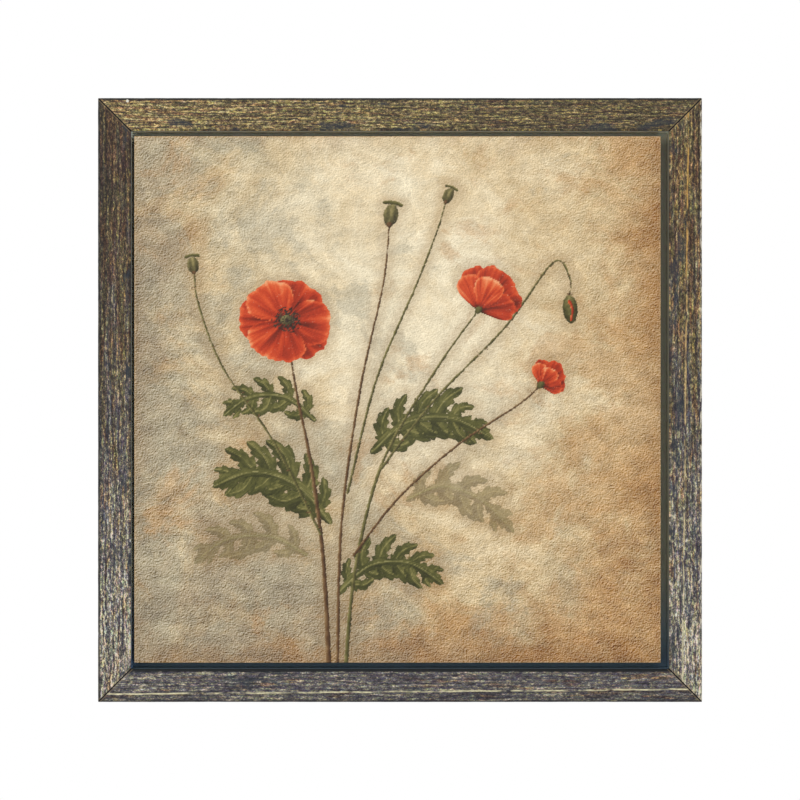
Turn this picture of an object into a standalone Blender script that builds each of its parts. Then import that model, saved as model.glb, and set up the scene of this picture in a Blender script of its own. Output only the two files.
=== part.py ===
"""Square framed canvas: a stretched canvas held in a mitred floater frame, hung on one nail.

Metres. +X is the viewer's right, +Z is up and +Y points into the wall. The origin is the notch of the
sawtooth hanger where the wall nail holds it, on the face of the wall.
"""

import math

import bmesh
import bpy
from mathutils import Matrix, Vector

# ---- driving dimensions ----------------------------------------------------------------------
CANVAS_SIDE = 0.508  # the stretched canvas, edge to edge: 20 inches
REVEAL = 0.005  # the open gap between canvas and frame, when the canvas is centred
CANVAS_SHIFT_X = -0.0024  # the canvas is screwed in a little left of centre
CANVAS_SHIFT_Z = 0.0005  # and a hair above it
FACE = 0.032  # width of the frame's front face
FRAME_DEPTH = 0.036  # front face to back face of the frame
FIT = 0.0003  # air between pieces that touch in the real object

# ---- floater moulding: an upright wall and a foot that runs in behind the canvas --------------
FOOT_THICK = 0.010
FOOT_REACH = 0.025
OUTER_ARRIS = 0.0012
INNER_ARRIS = 0.0020
BACK_ARRIS = 0.0006
MITRE_GAP = 0.0003

# ---- stretcher bars and canvas ----------------------------------------------------------------
BAR_WIDTH = 0.038
BAR_DEPTH = 0.019
BAR_BEAD = 0.004  # flat strip along the outer edge, the only part that meets the canvas
BAR_RELIEF = 0.003  # how far the bar falls away from the canvas towards its inner edge
BAR_ARRIS = 0.0012
CLOTH = 0.0008
HEM = 0.030  # canvas folded onto the backs of the bars
FOLD_RADIUS = 0.0014

# ---- hardware ----------------------------------------------------------------------------------
BUMPER_RADIUS = 0.006
BUMPER_HEIGHT = 0.003
BUMPER_INSET = 0.020

SCREW_HEAD_RADIUS = 0.0036
SCREW_SHANK_RADIUS = 0.0017
SCREW_HEAD_DEPTH = 0.0026
SCREW_LENGTH = 0.019
SCREW_TIP = 0.0035
SCREW_PLACES = (-0.150, 0.150)  # along each rail
SCREW_INSET = FACE + 0.017  # from the frame's outer edge

SINK = 0.0002  # flush hardware lies this far under the wood

STAPLE_CROWN = 0.010
STAPLE_LEG = 0.006
STAPLE_WIRE = 0.0007
STAPLE_WIDTH = 0.0012
STAPLE_INSET = 0.0262  # from the canvas's outer edge, clear of the frame's foot
CORNER_STAPLE_INSET = 0.0270
STAPLES_PER_SIDE = 5
STAPLE_SPACING = 0.088

VNAIL_LEG = 0.008
VNAIL_THICK = 0.0006
VNAIL_DEEP = 0.007
VNAIL_BAR_DEEP = 0.006
VNAIL_FRAME_INSETS = {"wall": 0.017, "foot": 0.045}
VNAIL_BAR_INSET = 0.015

HANGER_LENGTH = 0.050
HANGER_HEIGHT = 0.011
HANGER_THICK = 0.0008
HANGER_RAISE = 0.0012
HANGER_FLAT = 0.0315  # length of the raised middle
HANGER_RAMP = 0.0025
HANGER_TEETH = 13
TOOTH_PITCH = 0.0023
TOOTH_DEPTH = 0.0017
HANGER_BELOW_TOP = 0.020  # nail notch below the frame's top edge
TAB_HOLE_RADIUS = 0.0014
TAB_HOLE_PLACE = 0.0212
TAB_SCREW_HEAD = 0.0023
TAB_SCREW_SHANK = 0.0010
TAB_SCREW_LENGTH = 0.010

ROUND_SIDES = 20
ARC_STEPS = 3
CUT_MARGIN = 0.001  # how far a cutter stands out of the face that it opens

# ---- places worked out from the above -----------------------------------------------------------
OPENING = CANVAS_SIDE + 2 * REVEAL
FRAME_SIDE = OPENING + 2 * FACE
FRAME_HALF = FRAME_SIDE / 2
BACK_Y = -BUMPER_HEIGHT  # the frame's back face, held off the wall by the bumpers
FRONT_Y = BACK_Y - FRAME_DEPTH
FOOT_Y = BACK_Y - FOOT_THICK  # the foot's face, behind the canvas
CLOTH_BACK_Y = FOOT_Y - FIT
BAR_BACK_Y = CLOTH_BACK_Y - CLOTH - FIT
BAR_FRONT_Y = BAR_BACK_Y - BAR_DEPTH
CLOTH_FRONT_Y = BAR_FRONT_Y - FIT - CLOTH
BAR_HALF = CANVAS_SIDE / 2 - CLOTH - FIT
FRAME_CENTRE = Vector((0, 0, HANGER_BELOW_TOP - FRAME_HALF))
CANVAS_CENTRE = FRAME_CENTRE + Vector((CANVAS_SHIFT_X, 0, CANVAS_SHIFT_Z))

# Each side is the top one turned about the picture's normal.
SIDES = {"top": 0.0, "right": 90.0, "bottom": 180.0, "left": 270.0}
# Each corner is the top right one turned the same way.
CORNERS = {"top_right": 0.0, "bottom_right": 90.0, "bottom_left": 180.0, "top_left": 270.0}


def clear_scene():
    for old in list(bpy.data.objects):
        bpy.data.objects.remove(old)


def make_material(name, colour, roughness, metallic=0.0):
    made = bpy.data.materials.new(name)
    made.use_nodes = True
    shader = made.node_tree.nodes["Principled BSDF"]
    shader.inputs["Base Color"].default_value = (*colour, 1.0)
    shader.inputs["Roughness"].default_value = roughness
    shader.inputs["Metallic"].default_value = metallic
    return made


def turned_about(centre, degrees):
    """The matrix that puts a piece modelled for the top side onto another side."""
    return Matrix.Translation(centre) @ Matrix.Rotation(math.radians(degrees), 4, "Y")


def add_object(name, mesh, material=None, matrix=None):
    made = bpy.data.objects.new(name, mesh)
    bpy.context.scene.collection.objects.link(made)
    if matrix is not None:
        made.matrix_world = matrix
    if material is not None and not mesh.materials:
        mesh.materials.append(material)
    return made


def finished_mesh(name, bm, smooth_angle=None):
    """The bmesh as a mesh with its faces pointing out, shaded smooth where it is round."""
    bmesh.ops.recalc_face_normals(bm, faces=bm.faces)
    mesh = bpy.data.meshes.new(name)
    bm.to_mesh(mesh)
    bm.free()
    if smooth_angle is not None:
        mesh.shade_smooth()
        mesh.set_sharp_from_angle(angle=math.radians(smooth_angle))
    return mesh


# ---- shape tools ---------------------------------------------------------------------------------
def arc(centre, radius, start, end, steps=ARC_STEPS):
    """Points on a round corner, from one angle to another in degrees."""
    found = []
    for step in range(steps + 1):
        angle = math.radians(start + (end - start) * step / steps)
        found.append(
            (centre[0] + radius * math.cos(angle), centre[1] + radius * math.sin(angle))
        )
    return found


def mitred_bar(name, profile, half_side, gap):
    """A straight bar along X at the top of a square, cut at 45 degrees at both ends.

    The profile is a list of (inset from the square's edge, y). The gap is split between two bars.
    """
    pull_back = gap / 2 * math.sqrt(2)
    bm = bmesh.new()
    ends = []
    for direction in (-1, 1):
        ring = []
        for inset, y in profile:
            along = direction * (half_side - inset - pull_back)
            ring.append(bm.verts.new((along, y, half_side - inset)))
        bm.faces.new(ring)
        ends.append(ring)
    count = len(profile)
    for i in range(count):
        after = (i + 1) % count
        bm.faces.new((ends[0][i], ends[0][after], ends[1][after], ends[1][i]))
    return finished_mesh(name, bm, smooth_angle=40)


def turned_solid(name, profile, sides=ROUND_SIDES):
    """A solid of revolution about Y. The profile is (radius, y) from one pole to the other."""
    bm = bmesh.new()
    rings = []
    for radius, y in profile:
        if radius == 0:
            rings.append([bm.verts.new((0, y, 0))])
            continue
        ring = []
        for k in range(sides):
            angle = 2 * math.pi * k / sides
            ring.append(bm.verts.new((radius * math.cos(angle), y, radius * math.sin(angle))))
        rings.append(ring)
    for first, second in zip(rings, rings[1:]):
        for k in range(sides):
            after = (k + 1) % sides
            corners = [first[k % len(first)], first[after % len(first)]]
            corners += [second[after % len(second)], second[k % len(second)]]
            bm.faces.new(dict.fromkeys(corners))
    return finished_mesh(name, bm, smooth_angle=40)


def plate(name, outline, y_from, y_to):
    """A flat outline of (x, z) points, given thickness along Y."""
    bm = bmesh.new()
    face = bm.faces.new([bm.verts.new((x, y_from, z)) for x, z in outline])
    raised = bmesh.ops.extrude_face_region(bm, geom=[face])
    moved = [item for item in raised["geom"] if isinstance(item, bmesh.types.BMVert)]
    bmesh.ops.translate(bm, verts=moved, vec=(0, y_to - y_from, 0))
    return finished_mesh(name, bm)


def box_mesh(name, low, high):
    outline = [(low[0], low[2]), (high[0], low[2]), (high[0], high[2]), (low[0], high[2])]
    return plate(name, outline, low[1], high[1])


def add_cutter(name, mesh, matrix, *collections):
    """A shape to be taken out of every object that is cut with one of the collections."""
    made = bpy.data.objects.new(name, mesh)
    made.matrix_world = matrix
    made.display_type = "WIRE"
    made.hide_render = True
    for collection in collections:
        collection.objects.link(made)


def cutter_collection(name):
    made = bpy.data.collections.new(name)
    made.hide_render = True
    bpy.context.scene.collection.children.link(made)
    return made


def cut_with(obj, collection):
    """One Boolean takes every cutter of the collection out of the object."""
    cut = obj.modifiers.new("cut_" + collection.name, "BOOLEAN")
    cut.operation = "DIFFERENCE"
    cut.operand_type = "COLLECTION"
    cut.collection = collection
    cut.solver = "EXACT"


# ---- the frame -----------------------------------------------------------------------------------
def moulding_profile():
    """The floater moulding, as (inset from the frame's outer edge, y), starting at the back."""
    foot_edge = FACE + FOOT_REACH
    points = arc((BACK_ARRIS, BACK_Y - BACK_ARRIS), BACK_ARRIS, 180, 90)
    points += [(foot_edge, BACK_Y), (foot_edge, FOOT_Y), (FACE, FOOT_Y)]
    points += arc((FACE - INNER_ARRIS, FRONT_Y + INNER_ARRIS), INNER_ARRIS, 0, -90)
    points += arc((OUTER_ARRIS, FRONT_Y + OUTER_ARRIS), OUTER_ARRIS, -90, -180)
    return points


def make_rails(paint):
    mesh = mitred_bar("moulding", moulding_profile(), FRAME_HALF, MITRE_GAP)
    rails = {}
    for side, degrees in SIDES.items():
        place = turned_about(FRAME_CENTRE, degrees)
        rails[side] = add_object("rail_" + side, mesh, paint, place)
    return rails


# ---- the stretched canvas -------------------------------------------------------------------------
def bar_profile():
    """A stretcher bar, as (inset from the bars' outer edge, y), starting at the back."""
    points = [(0, BAR_BACK_Y), (BAR_WIDTH, BAR_BACK_Y)]
    points += [(BAR_WIDTH, BAR_FRONT_Y + BAR_RELIEF), (BAR_BEAD, BAR_FRONT_Y)]
    points += arc((BAR_ARRIS, BAR_FRONT_Y + BAR_ARRIS), BAR_ARRIS, -90, -180)
    return points


def make_bars(wood):
    mesh = mitred_bar("stretcher_bar", bar_profile(), BAR_HALF, MITRE_GAP)
    bars = {}
    for side, degrees in SIDES.items():
        place = turned_about(CANVAS_CENTRE, degrees)
        bars[side] = add_object("bar_" + side, mesh, wood, place)
    return bars


def square_ring(bm, half, y):
    """The corners of a square across the picture, in order."""
    corners = ((-half, -half), (half, -half), (half, half), (-half, half))
    return [bm.verts.new((x, y, z)) for x, z in corners]


def make_canvas(cloth):
    """The canvas as a tray: its face, its four sides and the hem on the backs of the bars."""
    outer = CANVAS_SIDE / 2
    inner = outer - CLOTH
    inner_radius = FOLD_RADIUS - CLOTH
    profile = arc((outer - FOLD_RADIUS, CLOTH_FRONT_Y + FOLD_RADIUS), FOLD_RADIUS, -90, 0)
    profile += arc((outer - FOLD_RADIUS, CLOTH_BACK_Y - FOLD_RADIUS), FOLD_RADIUS, 0, 90)
    profile += [(outer - HEM, CLOTH_BACK_Y), (outer - HEM, CLOTH_BACK_Y - CLOTH)]
    profile += arc((inner - inner_radius, CLOTH_BACK_Y - FOLD_RADIUS), inner_radius, 90, 0)
    profile += arc((inner - inner_radius, CLOTH_FRONT_Y + FOLD_RADIUS), inner_radius, 0, -90)
    bm = bmesh.new()
    rings = [square_ring(bm, half, y) for half, y in profile]
    for first, second in zip(rings, rings[1:]):
        for k in range(4):
            after = (k + 1) % 4
            bm.faces.new((first[k], first[after], second[after], second[k]))
    bm.faces.new(rings[0])
    bm.faces.new(rings[-1])
    mesh = finished_mesh("canvas", bm, smooth_angle=40)
    return add_object("canvas", mesh, cloth, Matrix.Translation(CANVAS_CENTRE))


# ---- screws ------------------------------------------------------------------------------------------
def screw_profile(grow=0.0, lead=0.0):
    """A countersunk screw, head at y = 0, point towards -Y. A cutter grows and leads out of the wood."""
    head = SCREW_HEAD_RADIUS + grow
    shank = SCREW_SHANK_RADIUS + grow
    points = [(0, lead), (head, lead)]
    if lead:
        points.append((head, 0))
    points.append((shank, -SCREW_HEAD_DEPTH))
    points.append((shank, SCREW_TIP - SCREW_LENGTH - grow))
    points.append((0, -SCREW_LENGTH - grow))
    return points


def cross_recess(name):
    """The driver's cross, as one outline with four arms."""
    reach, half = 0.0021, 0.00045
    outline = [(half, half), (half, reach), (-half, reach), (-half, half)]
    outline += [(-reach, half), (-reach, -half), (-half, -half), (-half, -reach)]
    outline += [(half, -reach), (half, -half), (reach, -half), (reach, half)]
    return plate(name, outline, CUT_MARGIN, -0.0014)


def make_fixing_screws(steel, crosses, *holes):
    """Two screws a side, through the frame's foot and the hem into the stretcher bar."""
    screw = turned_solid("fixing_screw", screw_profile())
    hole = turned_solid("fixing_hole", screw_profile(FIT, CUT_MARGIN))
    cross = cross_recess("cross_recess")
    for side, degrees in SIDES.items():
        for number, along in enumerate(SCREW_PLACES, start=1):
            local = Vector((along, BACK_Y - SINK, FRAME_HALF - SCREW_INSET))
            place = turned_about(FRAME_CENTRE, degrees) @ Matrix.Translation(local)
            name = f"screw_{side}_{number}"
            made = add_object(name, screw, steel, place)
            cut_with(made, crosses)
            add_cutter(name + "_hole", hole, place, *holes)
            add_cutter(name + "_cross", cross, place, crosses)


# ---- staples ------------------------------------------------------------------------------------------
def staple_mesh():
    """A staple across X, crown on y = 0, legs towards -Y."""
    half = STAPLE_CROWN / 2
    inner = half - STAPLE_WIRE
    outline = [(-half, STAPLE_WIRE), (half, STAPLE_WIRE), (half, -STAPLE_LEG)]
    outline += [(inner, -STAPLE_LEG), (inner, 0), (-inner, 0)]
    outline += [(-inner, -STAPLE_LEG), (-half, -STAPLE_LEG)]
    bm = bmesh.new()
    low = -STAPLE_WIDTH / 2
    face = bm.faces.new([bm.verts.new((x, y, low)) for x, y in outline])
    raised = bmesh.ops.extrude_face_region(bm, geom=[face])
    moved = [item for item in raised["geom"] if isinstance(item, bmesh.types.BMVert)]
    bmesh.ops.translate(bm, verts=moved, vec=(0, 0, STAPLE_WIDTH))
    return finished_mesh("staple", bm)


def staple_places():
    """Name and matrix of each staple: a row along each bar, and one across each mitre."""
    crown_y = CLOTH_BACK_Y + FIT
    edge = CANVAS_SIDE / 2 - STAPLE_INSET
    for side, degrees in SIDES.items():
        for number in range(STAPLES_PER_SIDE):
            along = (number - (STAPLES_PER_SIDE - 1) / 2) * STAPLE_SPACING
            local = Matrix.Translation((along, crown_y, edge))
            yield f"staple_{side}_{number + 1}", turned_about(CANVAS_CENTRE, degrees) @ local
    across_mitre = Matrix.Rotation(math.radians(45), 4, "Y")
    corner_edge = CANVAS_SIDE / 2 - CORNER_STAPLE_INSET
    for corner, degrees in CORNERS.items():
        local = Matrix.Translation((corner_edge, crown_y, corner_edge)) @ across_mitre
        yield "staple_" + corner, turned_about(CANVAS_CENTRE, degrees) @ local


def make_staples(steel, *holes):
    staple = staple_mesh()
    leg_x = (STAPLE_CROWN - STAPLE_WIRE) / 2
    half_x = STAPLE_WIRE / 2 + FIT
    half_z = STAPLE_WIDTH / 2 + FIT
    legs = {}
    for name, sign in (("left", -1), ("right", 1)):
        low = (sign * leg_x - half_x, -STAPLE_LEG - FIT, -half_z)
        high = (sign * leg_x + half_x, 0, half_z)
        legs[name] = box_mesh("staple_slot_" + name, low, high)
    for name, place in staple_places():
        add_object(name, staple, steel, place)
        for leg, slot in legs.items():
            add_cutter(f"{name}_slot_{leg}", slot, place, *holes)


# ---- corner joints --------------------------------------------------------------------------------------
def vnail_outline(grow=0.0):
    """A bent plate with one leg in each member, its bend on the mitre of the top right corner."""
    leg, half = VNAIL_LEG + grow, VNAIL_THICK / 2 + grow
    outline = [(half, half), (-leg, half), (-leg, -half)]
    outline += [(-half, -half), (-half, -leg), (half, -leg)]
    return outline


def make_vnails(prefix, steel, holes, centre, corner, back_y, deep):
    """One V-nail in each corner of a mitred square, flush with its back."""
    nail = plate(prefix, vnail_outline(), -SINK, -deep)
    slot = plate(prefix + "_slot", vnail_outline(FIT), CUT_MARGIN, -deep - FIT)
    local = Matrix.Translation((corner, back_y, corner))
    for name, degrees in CORNERS.items():
        place = turned_about(centre, degrees) @ local
        add_object(f"{prefix}_{name}", nail, steel, place)
        add_cutter(f"{prefix}_{name}_slot", slot, place, holes)


# ---- what the picture hangs on -----------------------------------------------------------------------------
def hanger_outline():
    """The hanger's strip seen from the wall: square ends, and a row of notches along its lower edge.

    The middle notch's top is at the origin.
    """
    half = HANGER_LENGTH / 2
    lower = -TOOTH_DEPTH
    upper = lower + HANGER_HEIGHT
    outline = [(-half, lower)]
    for tooth in range(HANGER_TEETH):
        middle = (tooth - (HANGER_TEETH - 1) / 2) * TOOTH_PITCH
        width = TOOTH_PITCH * 0.42
        outline += [(middle - width, lower), (middle, 0), (middle + width, lower)]
    outline += [(half, lower), (half, upper), (-half, upper)]
    return outline


def hanger_lift(x):
    """How far the strip stands off the wood: nothing at the tabs, and the full raise in the middle."""
    past_flat = abs(x) - HANGER_FLAT / 2
    return HANGER_RAISE * min(1.0, max(0.0, 1.0 - past_flat / HANGER_RAMP))


def make_hanger(steel, tab_holes):
    tab_back = BACK_Y + FIT
    mesh = plate("hanger", hanger_outline(), tab_back, tab_back + HANGER_THICK)
    bm = bmesh.new()
    bm.from_mesh(mesh)
    for place in (HANGER_FLAT / 2, HANGER_FLAT / 2 + HANGER_RAMP):
        for sign in (-1, 1):
            geometry = bm.verts[:] + bm.edges[:] + bm.faces[:]
            bend = (sign * place, 0, 0)
            bmesh.ops.bisect_plane(bm, geom=geometry, plane_co=bend, plane_no=(1, 0, 0))
    for vertex in bm.verts:
        vertex.co.y += hanger_lift(vertex.co.x)
    bm.to_mesh(mesh)
    bm.free()
    hanger = add_object("hanger", mesh, steel)
    hole = turned_solid("tab_hole", cylinder_profile(TAB_HOLE_RADIUS, -CUT_MARGIN, CUT_MARGIN))
    for name, x in tab_places().items():
        place = Matrix.Translation((x, tab_back, HANGER_HEIGHT / 2 - TOOTH_DEPTH))
        add_cutter(f"hanger_hole_{name}", hole, place, tab_holes)
    cut_with(hanger, tab_holes)


def cylinder_profile(radius, low, high):
    return [(0, high), (radius, high), (radius, low), (0, low)]


def tab_places():
    return {"left": -TAB_HOLE_PLACE, "right": TAB_HOLE_PLACE}


def make_hanger_screws(steel, slots, holes):
    """A small round-headed screw through each tab into the top rail."""
    head_y = HANGER_THICK + 2 * FIT  # underside of the head, above the wood
    head = [(0, head_y + 0.0011), (TAB_SCREW_HEAD * 0.55, head_y + 0.0010)]
    head += [(TAB_SCREW_HEAD * 0.9, head_y + 0.0006), (TAB_SCREW_HEAD, head_y)]
    shank = [(TAB_SCREW_SHANK, head_y), (TAB_SCREW_SHANK, 0.002 - TAB_SCREW_LENGTH)]
    screw = turned_solid("hanger_screw", head + shank + [(0, -TAB_SCREW_LENGTH)])
    depth = TAB_SCREW_LENGTH + FIT
    hole_profile = cylinder_profile(TAB_SCREW_SHANK + FIT, -depth, CUT_MARGIN)
    hole = turned_solid("hanger_screw_hole", hole_profile)
    slot_half = 0.0003
    slot_low = (-TAB_SCREW_HEAD, head_y + 0.0005, -slot_half)
    slot_high = (TAB_SCREW_HEAD, head_y + CUT_MARGIN * 2, slot_half)
    slot = box_mesh("hanger_screw_slot", slot_low, slot_high)
    for name, x in tab_places().items():
        place = Matrix.Translation((x, BACK_Y, HANGER_HEIGHT / 2 - TOOTH_DEPTH))
        made = add_object(f"hanger_screw_{name}", screw, steel, place)
        add_cutter(f"hanger_screw_hole_{name}", hole, place, holes)
        add_cutter(f"hanger_screw_slot_{name}", slot, place, slots)
        cut_with(made, slots)


def make_bumpers(rubber):
    """Soft feet at the lower corners, which keep the picture off the wall and level."""
    radius, low = BUMPER_RADIUS, FIT
    top = radius * 0.62
    dome = [(radius * 0.97, BUMPER_HEIGHT * 0.45), (radius * 0.84, BUMPER_HEIGHT * 0.82)]
    profile = [(0, BUMPER_HEIGHT), (top, BUMPER_HEIGHT), *reversed(dome), (radius, low), (0, low)]
    mesh = turned_solid("bumper", profile, sides=24)
    reach = FRAME_HALF - BUMPER_INSET
    for name, sign in (("left", -1), ("right", 1)):
        centre = FRAME_CENTRE + Vector((sign * reach * 0.9, BACK_Y, -reach))
        add_object(f"bumper_{name}", mesh, rubber, Matrix.Translation(centre))


def main():
    clear_scene()
    paint = make_material("brushed_frame_paint", (0.13, 0.11, 0.08), 0.6)
    pine = make_material("stretcher_pine", (0.62, 0.45, 0.27), 0.7)
    cloth = make_material("printed_canvas", (0.52, 0.42, 0.28), 0.85)
    zinc = make_material("zinc_steel", (0.60, 0.60, 0.58), 0.35, metallic=1.0)
    rubber = make_material("bumper_rubber", (0.05, 0.05, 0.05), 0.6)

    rail_holes = cutter_collection("rail_holes")
    bar_holes = cutter_collection("bar_holes")
    cloth_holes = cutter_collection("cloth_holes")
    screw_crosses = cutter_collection("screw_crosses")
    tab_holes = cutter_collection("tab_holes")
    screw_slots = cutter_collection("screw_slots")

    rails = make_rails(paint)
    bars = make_bars(pine)
    canvas = make_canvas(cloth)
    make_fixing_screws(zinc, screw_crosses, rail_holes, bar_holes, cloth_holes)
    make_staples(zinc, bar_holes, cloth_holes)
    for place, inset in VNAIL_FRAME_INSETS.items():
        corner = FRAME_HALF - inset
        name = "vnail_" + place
        make_vnails(name, zinc, rail_holes, FRAME_CENTRE, corner, BACK_Y, VNAIL_DEEP)
    corner = BAR_HALF - VNAIL_BAR_INSET
    make_vnails("vnail_bar", zinc, bar_holes, CANVAS_CENTRE, corner, BAR_BACK_Y, VNAIL_BAR_DEEP)
    make_hanger(zinc, tab_holes)
    make_hanger_screws(zinc, screw_slots, rail_holes)
    make_bumpers(rubber)
    for rail in rails.values():
        cut_with(rail, rail_holes)
    for bar in bars.values():
        cut_with(bar, bar_holes)
    cut_with(canvas, cloth_holes)


main()
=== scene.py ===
# %% [markdown]
# # A stretched canvas in a floater frame
#
# This lesson dresses a wall picture: a printed cotton canvas, stretched over pine bars and screwed into a
# floater frame of wire-brushed, distressed wood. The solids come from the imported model, and every piece
# here is placed from them. The steps are: the view and the light, a helper for finishes, the four rails,
# the canvas with its painted design, then the bars and the hardware behind.

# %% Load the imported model
import math

import bmesh
import bpy
import numpy as np
from mathutils import Matrix, Vector


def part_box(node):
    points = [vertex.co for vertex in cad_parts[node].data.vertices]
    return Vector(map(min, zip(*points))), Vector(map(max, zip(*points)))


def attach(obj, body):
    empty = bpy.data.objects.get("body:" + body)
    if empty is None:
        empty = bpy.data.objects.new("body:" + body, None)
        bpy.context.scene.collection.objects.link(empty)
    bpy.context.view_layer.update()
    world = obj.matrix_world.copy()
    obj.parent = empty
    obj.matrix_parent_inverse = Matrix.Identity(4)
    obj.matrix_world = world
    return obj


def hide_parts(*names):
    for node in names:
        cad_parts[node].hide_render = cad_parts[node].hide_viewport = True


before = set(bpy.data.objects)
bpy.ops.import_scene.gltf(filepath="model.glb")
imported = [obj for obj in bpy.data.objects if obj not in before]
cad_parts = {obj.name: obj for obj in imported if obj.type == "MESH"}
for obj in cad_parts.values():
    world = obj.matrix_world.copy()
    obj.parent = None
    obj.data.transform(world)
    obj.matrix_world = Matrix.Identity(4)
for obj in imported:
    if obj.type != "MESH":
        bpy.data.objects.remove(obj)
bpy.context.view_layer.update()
MM = 0.001

# %% [markdown]
# ## Where things are
#
# The picture faces -Y and hangs on the wall at y = 0. The four rails' boxes together give the frame's
# square, and the canvas node's box gives the canvas, which sits a little off centre in its opening. The
# moulding's two inner sizes are not in any box, so they are repeated here by name.

# %% Read the sizes off the solids
RAIL_NAMES = ("rail_top", "rail_right", "rail_bottom", "rail_left")
rail_boxes = [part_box(name) for name in RAIL_NAMES]
frame_low = Vector([min(low[axis] for low, high in rail_boxes) for axis in range(3)])
frame_high = Vector([max(high[axis] for low, high in rail_boxes) for axis in range(3)])
frame_centre = Vector(((frame_low.x + frame_high.x) / 2, 0, (frame_low.z + frame_high.z) / 2))
frame_half = (frame_high.x - frame_low.x) / 2
front_y, back_y = frame_low.y, frame_high.y

canvas_low, canvas_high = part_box("canvas")
canvas_centre = Vector(((canvas_low.x + canvas_high.x) / 2, 0, (canvas_low.z + canvas_high.z) / 2))
canvas_half = (canvas_high.x - canvas_low.x) / 2

FACE_WIDTH = 32 * MM
FOOT_THICK = 10 * MM
foot_reach = (rail_boxes[0][1].z - rail_boxes[0][0].z) - FACE_WIDTH
foot_y = back_y - FOOT_THICK
print("frame", round(2 * frame_half / MM), "mm, canvas", round(2 * canvas_half / MM), "mm")

# %% [markdown]
# ## The view and the light
#
# A picture is best seen square on and from far off, through a long lens, so that its edges stay parallel.
# The camera stands level with the middle of the frame. Light comes from a large soft lamp up on the left,
# which rakes the grain and the canvas, from a second one up behind on the right, and from a pale world all
# round. The world is pure white where the camera sees it and dimmer as a light, so that the black of the
# reveal stays black. The pale floor is well below the picture, as in a room.

# %% Camera
LENS_MM = 135
FRAME_SHARE = 0.7555  # how much of the view's width the frame fills
camera_data = bpy.data.cameras.new("camera")
camera_data.lens = LENS_MM
seen_width = 2 * frame_half / FRAME_SHARE
camera_distance = seen_width * LENS_MM / camera_data.sensor_width
camera = bpy.data.objects.new("camera", camera_data)
camera.location = (frame_centre.x, front_y - camera_distance, frame_centre.z)
camera.rotation_euler = (math.radians(90), 0, 0)
bpy.context.scene.collection.objects.link(camera)
bpy.context.scene.camera = camera
print("camera stands", round(camera_distance, 2), "m from the frame")

# %% Lamps, world and floor
def add_lamp(name, offset, size, watts):
    """A square soft lamp that faces the middle of the frame."""
    data = bpy.data.lights.new(name, "AREA")
    data.size = size
    data.energy = watts
    lamp = bpy.data.objects.new(name, data)
    lamp.location = frame_centre + Vector(offset)
    lamp.rotation_euler = (-Vector(offset)).to_track_quat("-Z", "Y").to_euler()
    bpy.context.scene.collection.objects.link(lamp)
    return lamp


add_lamp("key_lamp", (-1.5, -2.0, 1.7), 0.9, 31)
add_lamp("back_lamp", (1.3, 2.2, 1.5), 1.4, 60)

world = bpy.data.worlds.new("studio")
world.use_nodes = True
bpy.context.scene.world = world
world_nodes = world.node_tree.nodes
background = world_nodes["Background"]
background.inputs["Color"].default_value = (1, 1, 1, 1)
who_looks = world_nodes.new("ShaderNodeLightPath")
how_bright = world_nodes.new("ShaderNodeMapRange")
how_bright.inputs["To Min"].default_value = 0.74
how_bright.inputs["To Max"].default_value = 1.0
world.node_tree.links.new(who_looks.outputs["Is Camera Ray"], how_bright.inputs["Value"])
world.node_tree.links.new(how_bright.outputs["Result"], background.inputs["Strength"])
bpy.context.scene.view_settings.view_transform = "Standard"

FLOOR_BELOW = 1.1
FLOOR_REACH = 7.0
FLOOR_CORNERS = 128
floor_data = bpy.data.meshes.new("floor")
floor_bm = bmesh.new()
bmesh.ops.create_circle(floor_bm, cap_ends=True, segments=FLOOR_CORNERS, radius=FLOOR_REACH)
floor_bm.to_mesh(floor_data)
floor_bm.free()
floor = bpy.data.objects.new("floor", floor_data)
floor.location = (0, 0, frame_low.z - FLOOR_BELOW)
bpy.context.scene.collection.objects.link(floor)
print("floor", FLOOR_BELOW, "m below the frame")

# %% [markdown]
# ## A helper for finishes
#
# Each finish is a node tree round one Principled shader. Written out in full, every node takes four or
# five lines, so this small class wraps the few kinds that are used here: each method adds one node and
# hands back the socket that it makes. Colours are named as 0 to 255 values, as a paint chart gives them,
# and turned into the linear values that the shader works in.

# %% The finish helper
def linear(colour):
    """A colour as 0 to 255 values, in the linear values that shaders use."""
    parts = np.asarray(colour, float) / 255
    return np.where(parts <= 0.04045, parts / 12.92, ((parts + 0.055) / 1.055) ** 2.4)


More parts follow.
